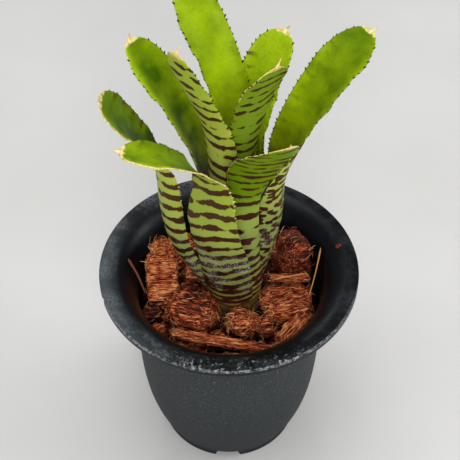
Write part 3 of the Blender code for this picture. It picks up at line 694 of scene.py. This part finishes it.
def knotted(shares, knots, values):
    """Monotone cubic through values at knots: each span blends its two values by u^2 (3 - 2u) and adds end
    slopes that are weighted harmonic means of the neighbouring spans' slopes."""
    knots, values = np.asarray(knots, float), np.asarray(values, float)
    steps = np.diff(knots)
    slopes = np.diff(values) / steps
    before, after = slopes[:-1], slopes[1:]
    same_way = before * after > 0
    w_before, w_after = 2 * steps[1:] + steps[:-1], steps[1:] + 2 * steps[:-1]
    mean = (w_before + w_after) / (w_before / np.where(same_way, before, 1)
                                   + w_after / np.where(same_way, after, 1))
    tangents = np.concatenate([[end_tangent(steps[:2], slopes[:2])], np.where(same_way, mean, 0),
                               [end_tangent(steps[::-1][:2], slopes[::-1][:2])]])
    i = np.clip(np.searchsorted(knots, shares, side="right") - 1, 0, len(steps) - 1)
    u = (shares - knots[i]) / steps[i]
    rise = u * u * (3 - 2 * u)
    return (values[i] * (1 - rise) + values[i + 1] * rise
            + steps[i] * (tangents[i] * u * (1 - u) ** 2 - tangents[i + 1] * u * u * (1 - u)))


def leaf_sheet(spec, ripple_seed):
    """Middle surface of a leaf, its unit normals towards the upper side and its half widths. The spine adds
    up steps along (heading, rise). Each section is an arc, 2 x half width long, that bends through 2 x cup;
    its margins ripple along the normal by sines of the length, times the lane to the fourth."""
    share = np.linspace(0.0, 1.0, LEAF_STEPS)
    heading = np.radians(knotted(share, HEADING_AT, spec["heading"]))
    rise = np.radians(knotted(share, RISE_AT, spec["rise"]))
    along = np.stack([np.cos(rise) * np.cos(heading), np.cos(rise) * np.sin(heading), np.sin(rise)], 1)
    azimuth = math.radians(spec["azimuth"])
    base = np.array([PLANT_AXIS[0] + spec["ring"] * math.cos(azimuth),
                     PLANT_AXIS[1] + spec["ring"] * math.sin(azimuth), LEAF_BASE_Z])
    stride = spec["length"] / (LEAF_STEPS - 1)
    travelled = np.cumsum((along[1:] + along[:-1]) / 2 * stride, axis=0)
    spine = base + np.concatenate([np.zeros((1, 3)), travelled])
    across = np.stack([-np.sin(heading), np.cos(heading), 0 * heading], 1)
    inward = np.cross(along, across)
    twist = np.radians(knotted(share, TWIST_AT, (0, *spec["twist"])))[:, None]
    across, inward = (across * np.cos(twist) + inward * np.sin(twist),
                      inward * np.cos(twist) - across * np.sin(twist))
    cup = np.radians(knotted(share, CUP_AT, spec["cup"]))
    cup = np.where(np.abs(cup) < 0.01, 0.01, cup)[:, None]
    widths = (spec["ring"] * math.radians(spec["cup"][0]), *spec["half_width"], spec["half_width"][-1])
    rounding = np.clip((share - TIP_START) / (1 - TIP_START), 0, TIP_STOP)
    half_width = (knotted(share, WIDTH_AT, widths) * np.sqrt(1 - rounding ** TIP_POWER))[:, None]
    lane = np.linspace(-1.0, 1.0, LEAF_LANES)[None]
    angle = lane * cup
    bend = half_width / cup
    normal = inward[:, None] * np.cos(angle)[..., None] - across[:, None] * np.sin(angle)[..., None]
    source = np.random.default_rng(ripple_seed)
    length_mm = share[:, None] * spec["length"]
    waves = 2 * np.pi * length_mm / np.array([RIPPLE_WAVES])
    left, right = ((np.sin(waves + start) * RIPPLE_HEIGHTS).sum(1)[:, None]
                   for start in source.uniform(0, 2 * np.pi, (2, 1, 3)))
    free = (fade(share, 0.35, 0.2) * fade(1.0 - share, 0.0, 0.08))[:, None]
    ripple = free * np.where(lane < 0, left, right) * lane ** 4
    sheet = (spine[:, None] + across[:, None] * (bend * np.sin(angle))[..., None]
             + inward[:, None] * (bend * (1 - np.cos(angle)))[..., None] + normal * ripple[..., None])
    return share, lane, half_width, sheet, normal, along


def margin_teeth(sheet, normal, spec, seed):
    """Small cones along both margins above the sheath, TOOTH_SPACING apart, that lean to the tip. Their looks
    are 1, dark horn, or 2, straw, along a margin that is pale."""
    source = np.random.default_rng(seed)
    points, faces, looks = [], [], []
    k = np.arange(TOOTH_SIDES)
    turn = circle(TOOTH_SIDES)
    cone = np.stack([k, (k + 1) % TOOTH_SIDES, np.full(TOOTH_SIDES, TOOTH_SIDES)], 1)[:, ::-1]
    for side, lane_row, pale in zip((-1, 1), (0, LEAF_LANES - 1), spec["pale_margins"]):
        margin = sheet[:, lane_row]
        travelled = np.concatenate([[0], np.cumsum(np.linalg.norm(np.diff(margin, axis=0), axis=1))])
        count = int((travelled[-1] - TOOTH_START - 4) / TOOTH_SPACING)
        stops = TOOTH_START + TOOTH_SPACING * (np.arange(count) + source.uniform(-0.25, 0.25, count))
        row = np.clip(np.searchsorted(travelled, stops), 2, LEAF_STEPS - 3)
        along = margin[row + 2] - margin[row - 2]
        along /= np.linalg.norm(along, axis=1, keepdims=True)
        up = normal[row, lane_row]
        outward = side * np.cross(up, along)
        grown = 0.4 + 0.6 * fade(stops, TOOTH_START, 20)
        size = TOOTH_LENGTH * source.uniform(0.65, 1.15, (count, 1)) * grown[:, None]
        ring = (along[:, None] * TOOTH_HALF_WIDE * size[:, None] * np.cos(turn)[:, None]
                + side * up[:, None] * TOOTH_HALF_THICK * size[:, None] * np.sin(turn)[:, None])
        root = margin[row] - outward * TOOTH_ROOT
        apex = root + outward * (TOOTH_ROOT + size * TOOTH_REACH) + along * size * TOOTH_LEAN
        start = sum(len(part) for part in points) + (TOOTH_SIDES + 1) * np.arange(count)[:, None]
        points.append(np.concatenate([root[:, None] + ring, apex[:, None]], 1).reshape(-1, 3))
        faces += (cone + start[..., None]).reshape(-1, 3).tolist() + (k + start).tolist()
        looks += [2 if pale > 0.7 else 1] * (TOOTH_SIDES + 1) * count
    return np.concatenate(points), faces, looks


def horn_point(sheet, normal, along, hook):
    """Horny end point: an oval tube that narrows by (1.02 - t)^0.9 and bends by hook x t^2."""
    tip, way = sheet[-1].mean(0), along[-1]
    up = normal[-1, LEAF_LANES // 2]
    side = np.cross(up, way)
    t = np.linspace(0, 1, HORN_RINGS)[:, None]
    path = (tip + way * (HORN_LENGTH * t - HORN_ROOT) + side * hook[0] * HORN_BEND * t ** 2
            + up * hook[1] * HORN_BEND * t ** 2)
    turn = circle(HORN_SIDES)
    girth = (1.02 - t) ** 0.9
    ring = (side[None, None] * (HORN_HALF_WIDE * girth * np.cos(turn))[..., None]
            + up[None, None] * (HORN_HALF_THICK * girth * np.sin(turn))[..., None])
    return (path[:, None] + ring).reshape(-1, 3), [face[::-1] for face in capped_tube(HORN_RINGS, HORN_SIDES)]


# Leaf skin: living tissue under clear wax. leaf_mm is the place across and along the leaf, with a seed;
# leaf_band is the bands' count, blotching and scurf; leaf_tint is greenness, which takes painted shade in the
# channel, the place along the leaf, which on the upper side runs from painted shade deep in the tube to
# green, and straw; leaf_edge is how near the margin a point is, how strong its marks are (underneath: how
# green the blade is), and 1 on the upper side.
waxy_leaf, tree, shader = new_material("waxy_leaf_skin", 0.42, 1.45)
shader.inputs["Specular IOR Level"].default_value = 0.08
spot = attribute(tree, "leaf_mm", "Vector")
spot_across, _, spot_seed = axes(tree, spot)
phase, blotching, scurf_share = axes(tree, attribute(tree, "leaf_band", "Vector"))
greenness, share, straw = axes(tree, attribute(tree, "leaf_tint", "Vector"))
_, mark, upper = axes(tree, attribute(tree, "leaf_edge", "Vector"))
by_row = add(tree, "CombineXYZ", {0: spot_across, 1: phase, 2: spot_seed}).outputs[0]
# Bands: the wave of the phase, shifted by slow noise, counts as maroon where it passes a limit that changes
# from bar to bar, so that bars swell, taper and stop.
sway = noise(tree, scaled(tree, by_row, (0.055, 0.16, 1.0)), 1.0, 1.0)
rag = noise(tree, scaled(tree, spot, (0.55, 0.75, 1.0)), 1.0, 3.0, 0.6)
turned = product(tree, maths(tree, 'MULTIPLY_ADD', sway, 1.1, phase), 2 * math.pi)
ragged = maths(tree, 'MULTIPLY_ADD', rag, 1.9, maths(tree, 'COSINE', turned))
bar = noise(tree, scaled(tree, by_row, (0.16, 1.05, 1.0)), 1.0, 1.0)
bar_limit = remap(tree, bar, 0.34, 0.66, 0.55, 2.15)
low_limit = remap(tree, share, 0.10, 0.42, -0.95, 0.12)
breaking = remap(tree, blotching, 0.0, 0.6, 0.80, 1.15)
over = maths(tree, 'SUBTRACT', ragged, maths(tree, 'MULTIPLY_ADD', bar_limit, breaking, low_limit))
bars = remap(tree, over, -0.26, 0.14, curve='SMOOTHSTEP')
soft_bars = remap(tree, over, -0.8, 0.1)
broad_bars = remap(tree, over, -0.50, -0.30)
# Blotches: rounded islands 2 to 4 mm wide instead of bars.
cell = add(tree, "TexVoronoi", {"Vector": scaled(tree, spot, (0.22, 0.35, 1.0)), "Scale": 1.0,
                                "Randomness": 0.9}, voronoi_dimensions='2D').outputs["Distance"]
blots = remap(tree, maths(tree, 'MULTIPLY_ADD', rag, -0.9, cell), 0.01, -0.05, curve='SMOOTHSTEP')
is_blotched = remap(tree, blotching, 0.6, 1.0)
bar_part = product(tree, bars, maths(tree, 'SUBTRACT', 1.0, is_blotched))
marked_share = maths(tree, 'MAXIMUM', bar_part, product(tree, blots, is_blotched))
maroon_share = product(tree, marked_share, remap(tree, share, 0.02, 0.09, 0.3))
cloud = noise(tree, spot, 0.10, 3.0)
streak = noise(tree, scaled(tree, spot, (1.7, 0.06, 1.0)), 1.0, 3.0)
# Under side: olive at the foot, pale green on the sheath, fresher green and browner bands on the blade.
sheath = ramp(tree, share, (0.0, "#7c5e22"), (0.09, "#8c7a34"), (0.2, "#869044"), (0.38, "#8f9f50"),
              (0.5, "#b6c25c"), (0.72, "#d0d858"), (1.0, "#a8c030"))
past_sheath = remap(tree, share, 0.40, 0.56)
leafy = blend(tree, product(tree, past_sheath, mark), sheath, "#76960e")
maroon = ramp(tree, cloud, (0.35, "#2e1010"), (0.65, "#4a1c1b"))
under = blend(tree, maroon_share, leafy, blend(tree, product(tree, past_sheath, 0.5), maroon, "#5c3c24"))
# Upper side: painted shade, black-brown deep in the tube, turning to yellow-green; its bands faint and brown
# near the margins.
deep = ramp(tree, share, (0.30, "#080604"), (0.44, "#24260a"), (0.54, "#344a00"), (0.75, "#345000"),
            (1.0, "#4c6c00"))
lime = ramp(tree, share, (0.30, "#0a0805"), (0.44, "#7c7436"), (0.54, "#b4c010"), (0.75, "#a8c604"),
            (1.0, "#a8c410"))
mottle = remap(tree, cloud, 0.3, 0.7, -0.22, 0.22)
mottled = add(tree, "Math", {0: greenness, 1: mottle}, operation='ADD', use_clamp=True).outputs[0]
is_crisp = remap(tree, mark, 0.6, 0.9)
mark_bars = add(tree, "Mix", {0: is_crisp, 2: soft_bars, 3: broad_bars}, data_type='FLOAT').outputs[0]
faint_bars = product(tree, mark, remap(tree, bar, 0.46, 0.60, 0.06), mark_bars)
above = blend(tree, faint_bars, blend(tree, mottled, deep, lime), blend(tree, is_crisp, "#2c2a06", "#5a2412"))
# Wax bloom with a painted sheen: pale streaks, stronger where the leaf is greener.
bloom_and_sheen = product(tree, remap(tree, streak, 0.5, 0.75, high=0.20), greenness)
with_bloom_and_sheen = blend(tree, bloom_and_sheen, above, "#b0bc58")
scale_noise = noise(tree, spot, 1.5, 4.0, 0.7)
pored = blend(tree, remap(tree, scale_noise, 0.54, 0.68, high=0.40), with_bloom_and_sheen, "#45600a")
both = blend(tree, upper, under, pored)
# Silvery scurf: clumps of grey scales on the lower under side.
scurf = product(tree, remap(tree, share, 0.40, 0.31, high=0.8), remap(tree, share, 0.15, 0.22),
                remap(tree, scale_noise, 0.52, 0.62), remap(tree, cloud, 0.42, 0.54),
                maths(tree, 'SUBTRACT', 1.0, upper), scurf_share)
scurfy = blend(tree, scurf, both, "#cdd1c8")
# Straw: dry pale tissue at the tip and along some margins.
straw_share = remap(tree, product(tree, straw, rag), 0.42, 0.62)
dry = ramp(tree, rag, (0.38, "#cfa664"), (0.6, "#e6dc84"))
wear(shader, blend(tree, straw_share, scurfy, dry), bump(tree, streak, 0.35, 0.0003))
shader.inputs["Subsurface Weight"].default_value = 0.10
shader.inputs["Subsurface Radius"].default_value = (0.6, 1.0, 0.1)
shader.inputs["Subsurface Scale"].default_value = 0.001

# Spines: horn, dark maroon and slightly glossy.
spine_horn, tree, shader = new_material("dark_spine_horn", 0.45, 1.54)
wear(shader, ramp(tree, noise(tree, object_place(tree), 900.0), (0.35, "#1c080a"), (0.65, "#4a171b")))
# Tip horn: dry and translucent, straw-yellow clouded with pinkish tan.
tip_horn, tree, shader = new_material("straw_tip_horn", 0.5, 1.54)
wear(shader, ramp(tree, noise(tree, object_place(tree), 420.0), (0.35, "#e0b078"), (0.5, "#f3dc8e"),
                  (0.7, "#faf0c2")))

for number, (leaf_name, own) in enumerate(LEAVES.items()):
    spec = LEAF_USUAL | own
    share, lane, half_width, sheet, normal, along = leaf_sheet(spec, 60 + number)
    middle = LEAF_MIDDLE_MM * (1 - LEAF_THINNING * share[:, None])
    swell = np.sqrt(np.clip(1 - lane ** 2, 0, 1))
    thick = (LEAF_MARGIN_MM + (middle - LEAF_MARGIN_MM) * swell)[..., None] / 2
    loop = np.concatenate([(sheet + normal * thick)[:, ::-1], sheet - normal * thick], 1)
    columns = 2 * LEAF_LANES
    ones = np.ones((LEAF_STEPS, columns))
    lanes = np.concatenate([lane[:, ::-1], lane], 1) * ones
    is_upper = np.concatenate([np.ones_like(lane), np.zeros_like(lane)], 1) * ones
    shares, near = share[:, None] * ones, np.abs(lanes)
    along_mm = shares * spec["length"]
    spacing = BAND_AT_FOOT + BAND_GAIN * fade(share, 0.0, 0.45) - BAND_LOSS * fade(share, 0.5, 0.4)
    pace = spec["pace"] * spacing
    slant = spec["skew"] * lanes * half_width * fade(share, 0.1, 0.15)[:, None]
    count = np.cumsum(spec["length"] / LEAF_STEPS / pace)[:, None] - slant / pace[:, None]
    count = count + BAND_SHIFT * number
    lush, channel_shade, tip_gain = spec["green"]
    # Painted shade: the green falls along the channel by the leaf's second green value.
    green = lush - channel_shade * (1 - near ** 1.6) + tip_gain * fade(shares, 0.5, 0.45)
    pale = np.where(lanes < 0, *spec["pale_margins"])
    green = green + 0.6 * pale * fade(near, 0.55, 0.4)
    # Painted shade: below the throat the upper side's ramps run to near black deep in the tube.
    throat = spec["throat"]
    ramp_place = np.where(shares < throat, THROAT_RAMP_PLACE * shares / throat,
                    THROAT_RAMP_PLACE + (1 - THROAT_RAMP_PLACE) * (shares - throat) / (1 - throat))
    straw_mm, straw_from = spec["straw"]
    tip_straw = np.clip(2.0 - 1.4 * (spec["length"] - along_mm) / straw_mm, 0, 2)
    margin_straw = 2.0 * fade(near - 1 + 0.16 * pale, 0.0, 0.08) * fade(shares, straw_from, 0.1)
    marks = np.where(lanes < 0, *spec["marks"]) * np.clip((near - 0.35) / 0.5, 0.24, 1)
    marks = np.where(is_upper > 0, marks, spec["under"])
    skin = {"leaf_mm": [lanes * half_width, along_mm, NOISE_SHIFT * (number + 1) * ones],
            "leaf_band": [count * ones, spec["blotching"] * ones, spec["scurf"] * ones],
            "leaf_tint": [green, np.where(is_upper > 0, ramp_place, shares), np.maximum(tip_straw, margin_straw)],
            "leaf_edge": [near, marks, is_upper]}
    tooth_points, tooth_faces, tooth_looks = margin_teeth(sheet, normal, spec, 80 + number)
    horn_points, horn_faces = horn_point(sheet, normal, along, spec["hook"])
    blade_count, extra = ones.size, len(tooth_points) + len(horn_points)
    attributes = {key: np.concatenate([np.stack(values, -1).reshape(-1, 3), np.zeros((extra, 3))])
                  for key, values in skin.items()}
    k = np.arange(LEAF_LANES - 1)
    cap = np.stack([k, k + 1, columns - 2 - k, columns - 1 - k], 1)
    blade_faces = tube_faces(LEAF_STEPS, columns).tolist() + cap[:, ::-1].tolist()
    blade_faces += (cap + (LEAF_STEPS - 1) * columns).tolist()
    faces = (blade_faces + shifted(tooth_faces, blade_count)
             + shifted(horn_faces, blade_count + len(tooth_points)))
    look_of_face = [0] * len(blade_faces) + tooth_looks + [2] * len(horn_faces)
    points = np.concatenate([loop.reshape(-1, 3), tooth_points, horn_points])
    leaf = put_mesh(leaf_name + "_blade", points, faces, [waxy_leaf, spine_horn, tip_horn], look_of_face,
                    attributes)
    hand_in(leaf, "leaf", leaf_name)

# ---------------------------------------------------------------------------------------------------
# Chips: pieces of coconut husk lying loose on the bed. Blocks are sawn across the fibres and keep square
# shoulders; lumps are torn and rounded. Both bristle with fibres that have worked loose.
CHIP_CELL = 0.55
# Waves of a chip's surface in mm: swellings, fibres, pits and torn ends. Fibres and pits run along the grain.
SWELL_WAVE, FIBRE_WAVE, PIT_WAVE, TEAR_WAVE = 8.0, 1.9, 3.6, 3.0
FIBRE_STRETCH, PIT_STRETCH = (6.0, 1.0, 1.0), (2.0, 1.0, 1.0)
# Swellings are full on a chip this thick. Blocks, of this power and more, swell by a share of what lumps do.
FULL_SWELL_MM, BLOCK_POWER, BLOCK_SWELL = 9.0, 3.5, 0.55
# Loose fibres on the chips: their spans of length and radius in mm.
FIBRE_LENGTH, FIBRE_RADIUS = (1.5, 5.5), (0.07, 0.16)
# Each chip: size in mm, turn in degrees about X, Y and Z, roundness power, tone, loose fibres. The tone is
# partly painted shade: the small chips down in the gaps are given lower tones.
CHIPS = {
    "chip_upright_left": ((13.6, 8.5, 28.0), (-31, 0, 6), 9.0, 0.12, 210),
    "chip_strip_front": ((44.0, 4.6, 2.4), (0, 0, -12), 5.0, 0.04, 150),
    "chip_rim_front": ((30.0, 5.0, 5.0), (0, 0, 0), 4.0, -0.06, 60),
    "chip_diagonal_right": ((18.0, 7.5, 7.5), (0, -8, 48), 5.0, 0.06, 90),
    "chip_flat_right": ((17.0, 4.2, 2.2), (0, 4, 3), 5.0, -0.02, 60),
    "chip_back_left": ((16.0, 11.0, 10.0), (8, 0, 38), 5.0, -0.05, 40),
    "chip_back_mid": ((12.0, 10.0, 8.0), (0, 10, -24), 5.0, -0.05, 40),
    "chip_front_right": ((9.0, 5.0, 5.0), (0, 0, 33), 4.0, 0.0, 60),
    "chip_left_low": ((7.0, 6.0, 5.5), (6, 0, 30), 4.0, -0.12, 20),
    "chip_mid_right": ((6.0, 8.0, 6.5), (0, 12, 20), 4.0, -0.08, 60),
    "chip_under_strip_right": ((15.0, 4.6, 5.0), (0, 0, -8), 4.0, -0.05, 70),
    "chip_under_strip_left": ((9.0, 5.0, 5.0), (0, 0, -14), 4.0, -0.05, 50),
    "chip_rear_right": ((6.5, 6.5, 6.0), (0, 0, 50), 4.0, -0.08, 20),
    "chip_round_left": ((23.0, 18.0, 11.5), (0, 0, -12), 2.6, -0.14, 170),
    "chip_fibrous_front": ((12.5, 11.5, 10.5), (0, 0, 10), 2.4, -0.06, 190),
    "chip_big_right": ((21.5, 18.0, 11.0), (0, 0, 12), 3.4, -0.05, 280),
    "chip_wedge_back_right": ((12.5, 19.0, 23.0), (0, 8, 29), 2.8, -0.32, 110),
    "chip_back": ((19.0, 12.0, 9.5), (0, 8, -6), 2.8, -0.12, 80),
    "chip_back_inner": ((9.0, 9.0, 8.0), (0, 0, 0), 2.6, -0.1, 30),
    "chip_rear_small": ((9.5, 7.0, 7.0), (0, 0, 10), 2.6, -0.1, 20),
    "chip_rear_mid": ((9.0, 6.5, 6.5), (0, 0, -20), 2.6, -0.08, 20),
    "chip_left_gap": ((8.0, 8.0, 7.0), (0, 0, 0), 2.6, -0.2, 20),
    "chip_dark_left": ((8.0, 8.0, 6.0), (0, 0, 0), 2.4, -0.42, 16),
    "chip_small_front": ((7.5, 5.0, 6.0), (0, 0, 20), 2.6, -0.05, 50),
    "chip_front_left": ((11.0, 6.0, 5.0), (0, 0, -32), 2.8, -0.08, 60),
}
CHIP_SPREAD = 1.10
# A chip that is torn at its top narrows there by a share of its width.
TORN_AT_THE_TOP, TORN_NARROWING = ("chip_upright_left",), 0.34
# Chopped coconut husk: red-brown pith between lighter fibres, still damp from watering.
chopped_husk = husk_material("chopped_coconut_husk", (0.0, "#140201"), (0.2, "#561004"), (0.42, "#a83814"),
                             (0.66, "#de6c34"), (0.95, "#ffbe7c"))
for number, (chip_name, (size, turn, power, tone, fibres)) in enumerate(CHIPS.items()):
    low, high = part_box(chip_name)
    centre = np.array((low + high) / 2) / MM
    rotation = np.array(Euler([math.radians(a) for a in turn]).to_matrix())
    unit, unit_normal, faces = soft_block(int(np.clip(max(size) / CHIP_CELL, 16, 46)), power)
    lump = unit * np.array(size) / 2 * CHIP_SPREAD
    away = unit_normal / np.array(size)
    away /= np.linalg.norm(away, axis=1)[:, None]
    loose = 1.0 if power < BLOCK_POWER else BLOCK_SWELL
    scale = min(size) / FULL_SWELL_MM
    swell = crumple(lump, SWELL_WAVE, 200 + number) * 0.55 * loose * scale
    fibre = crumple(lump, FIBRE_WAVE, 300 + number, FIBRE_STRETCH)
    pit = np.minimum(crumple(lump, PIT_WAVE, 400 + number, PIT_STRETCH), 0.6) - 0.2
    relief = 0.11 * fibre + 0.15 * pit
    surface = lump + away * (swell + relief * min(1.0, scale + 0.25))[:, None]
    source = np.random.default_rng(500 + number)
    frayed = 0 * swell
    if chip_name in TORN_AT_THE_TOP:
        frayed = fade(lump[:, 2] / size[2], 0.18, 0.25)
    surface[:, 0] += frayed * TORN_NARROWING * (size[0] / 2 - lump[:, 0])
    surface += away * (frayed * (1.1 * crumple(lump, TEAR_WAVE, 700 + number) - 0.7))[:, None]
    chance = ((away @ rotation.T)[:, 2] > -0.25) * (1 + 5 * frayed)
    picked = source.choice(len(lump), fibres, p=chance / chance.sum())
    tangent = np.array([1.0, 0, 0]) + source.normal(size=(fibres, 3)) * 0.55
    tangent += frayed[picked, None] * (-0.9, 0, 1.0)
    tangent -= away[picked] * (tangent * away[picked]).sum(1)[:, None]
    tangent /= np.linalg.norm(tangent, axis=1)[:, None]
    reach = source.uniform(*FIBRE_LENGTH, fibres)[:, None] * min(1.0, 0.5 + scale / 2)
    start = surface[picked] - away[picked] * 0.15
    way = source.choice([-1, 1], (fibres, 1))
    end = start + tangent * reach * way + away[picked] * source.uniform(0.0, 0.7, (fibres, 1))
    lift = source.uniform(0.1, 0.7, (fibres, 1))
    middle = (start + end) / 2 + away[picked] * lift + source.normal(size=(fibres, 3)) * 0.5
    strand, strand_faces, shade = strand_tubes(start, middle, end, source.uniform(*FIBRE_RADIUS, fibres))
    points = np.concatenate([surface, strand]) @ rotation.T + centre
    body, extra = len(surface), len(strand)
    chip = put_mesh(
        chip_name + "_husk", points, faces.tolist() + shifted(strand_faces, body),
        [chopped_husk, loose_coir], [0] * len(faces) + [1] * len(strand_faces),
        {"grain_mm": np.concatenate([lump + 37.0 * number, strand]),
         "relief": np.concatenate([relief / 0.35, np.zeros(extra)]),
         "tone": np.full(body + extra, tone), "shade": np.concatenate([np.zeros(body), shade])})
    hand_in(chip, "husk_chip", chip_name)

# ---------------------------------------------------------------------------------------------------
# Straws: two dry stalks and a dark splinter that lean on the chips and the pot's wall. Each is a slightly
# bowed, ribbed stalk, thinner towards one end.
STRAW_RINGS, STRAW_SIDES = 26, 12
# A straw loses this share of its girth. Its ribs stand out, and a slower wave winds round it, by shares of
# its girth too, which leave its furrows at FURROW.
TAPER, RIB_COUNT, RIB_HEIGHT, WINDING_HEIGHT, FURROW = 0.4, 4, 0.14, 0.10, 0.76
# Each straw: its axes' ends as corners of its CAD box (0 low, 1 high), radius, bow in mm.
STRAWS = {
    "straw_right_wall": ((1, 1, 1), (0, 0, 0), 0.36, (0.6, 0.8, -0.2)),
    "straw_right_chips": ((0, 0, 0), (1, 1, 1), 0.38, (0.1, -0.3, 0.4)),
    "splinter_left_wall": ((0, 1, 1), (1, 0, 0), 0.70, (0.3, 0.2, 0.5)),
}
# Dry straw: shiny tan stalk with lighter ribs, worn to dark specks.
dry_straw, tree, shader = new_material("dry_straw", 0.45, 1.5)
speck = noise(tree, object_place(tree), 500.0, 3.0)
ribbed = maths(tree, 'MULTIPLY_ADD', speck, 0.8, attribute(tree, "rib"))
wear(shader, ramp(tree, ribbed, (0.1, "#5e2a10"), (0.45, "#a4602a"), (0.9, "#d2914c")))
# Splinter: weathered husk wood, red-brown.
husk_splinter, tree, shader = new_material("husk_splinter", 0.65, 1.5)
wear(shader, ramp(tree, attribute(tree, "rib"), (0.0, "#33100a"), (0.5, "#6a2a16"), (1.0, "#8a4526")))
for straw_name, (start_corner, end_corner, radius, bow) in STRAWS.items():
    box = np.array([list(corner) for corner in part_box(straw_name)]) / MM
    start = np.array([box[pick][axis] for axis, pick in enumerate(start_corner)])
    end = np.array([box[pick][axis] for axis, pick in enumerate(end_corner)])
    t = np.linspace(0, 1, STRAW_RINGS)[:, None]
    path = start + (end - start) * t + np.array(bow) * 4 * t * (1 - t)
    way = (end - start) / np.linalg.norm(end - start)
    side = np.cross(way, (0.2, 0.3, 1.0))
    side /= np.linalg.norm(side)
    other = np.cross(way, side)
    turn = circle(STRAW_SIDES)
    ribs = 1 + RIB_HEIGHT * np.cos(RIB_COUNT * turn)[None] + WINDING_HEIGHT * np.sin(9 * t + 2 * turn[None])
    girth = radius * (1 - TAPER * t) * np.minimum(1, 0.3 + 8 * np.minimum(t, 1 - t)) * ribs
    ring = side * (girth * np.cos(turn))[..., None] + other * (girth * np.sin(turn))[..., None]
    points = (path[:, None] + ring).reshape(-1, 3)
    faces = capped_tube(STRAW_RINGS, STRAW_SIDES)
    look = husk_splinter if straw_name.startswith("splinter") else dry_straw
    straw = put_mesh(straw_name + "_stalk", points, faces, [look],
                     attributes={"rib": (ribs.ravel() - FURROW) * 2})
    hand_in(straw, "straw", straw_name)
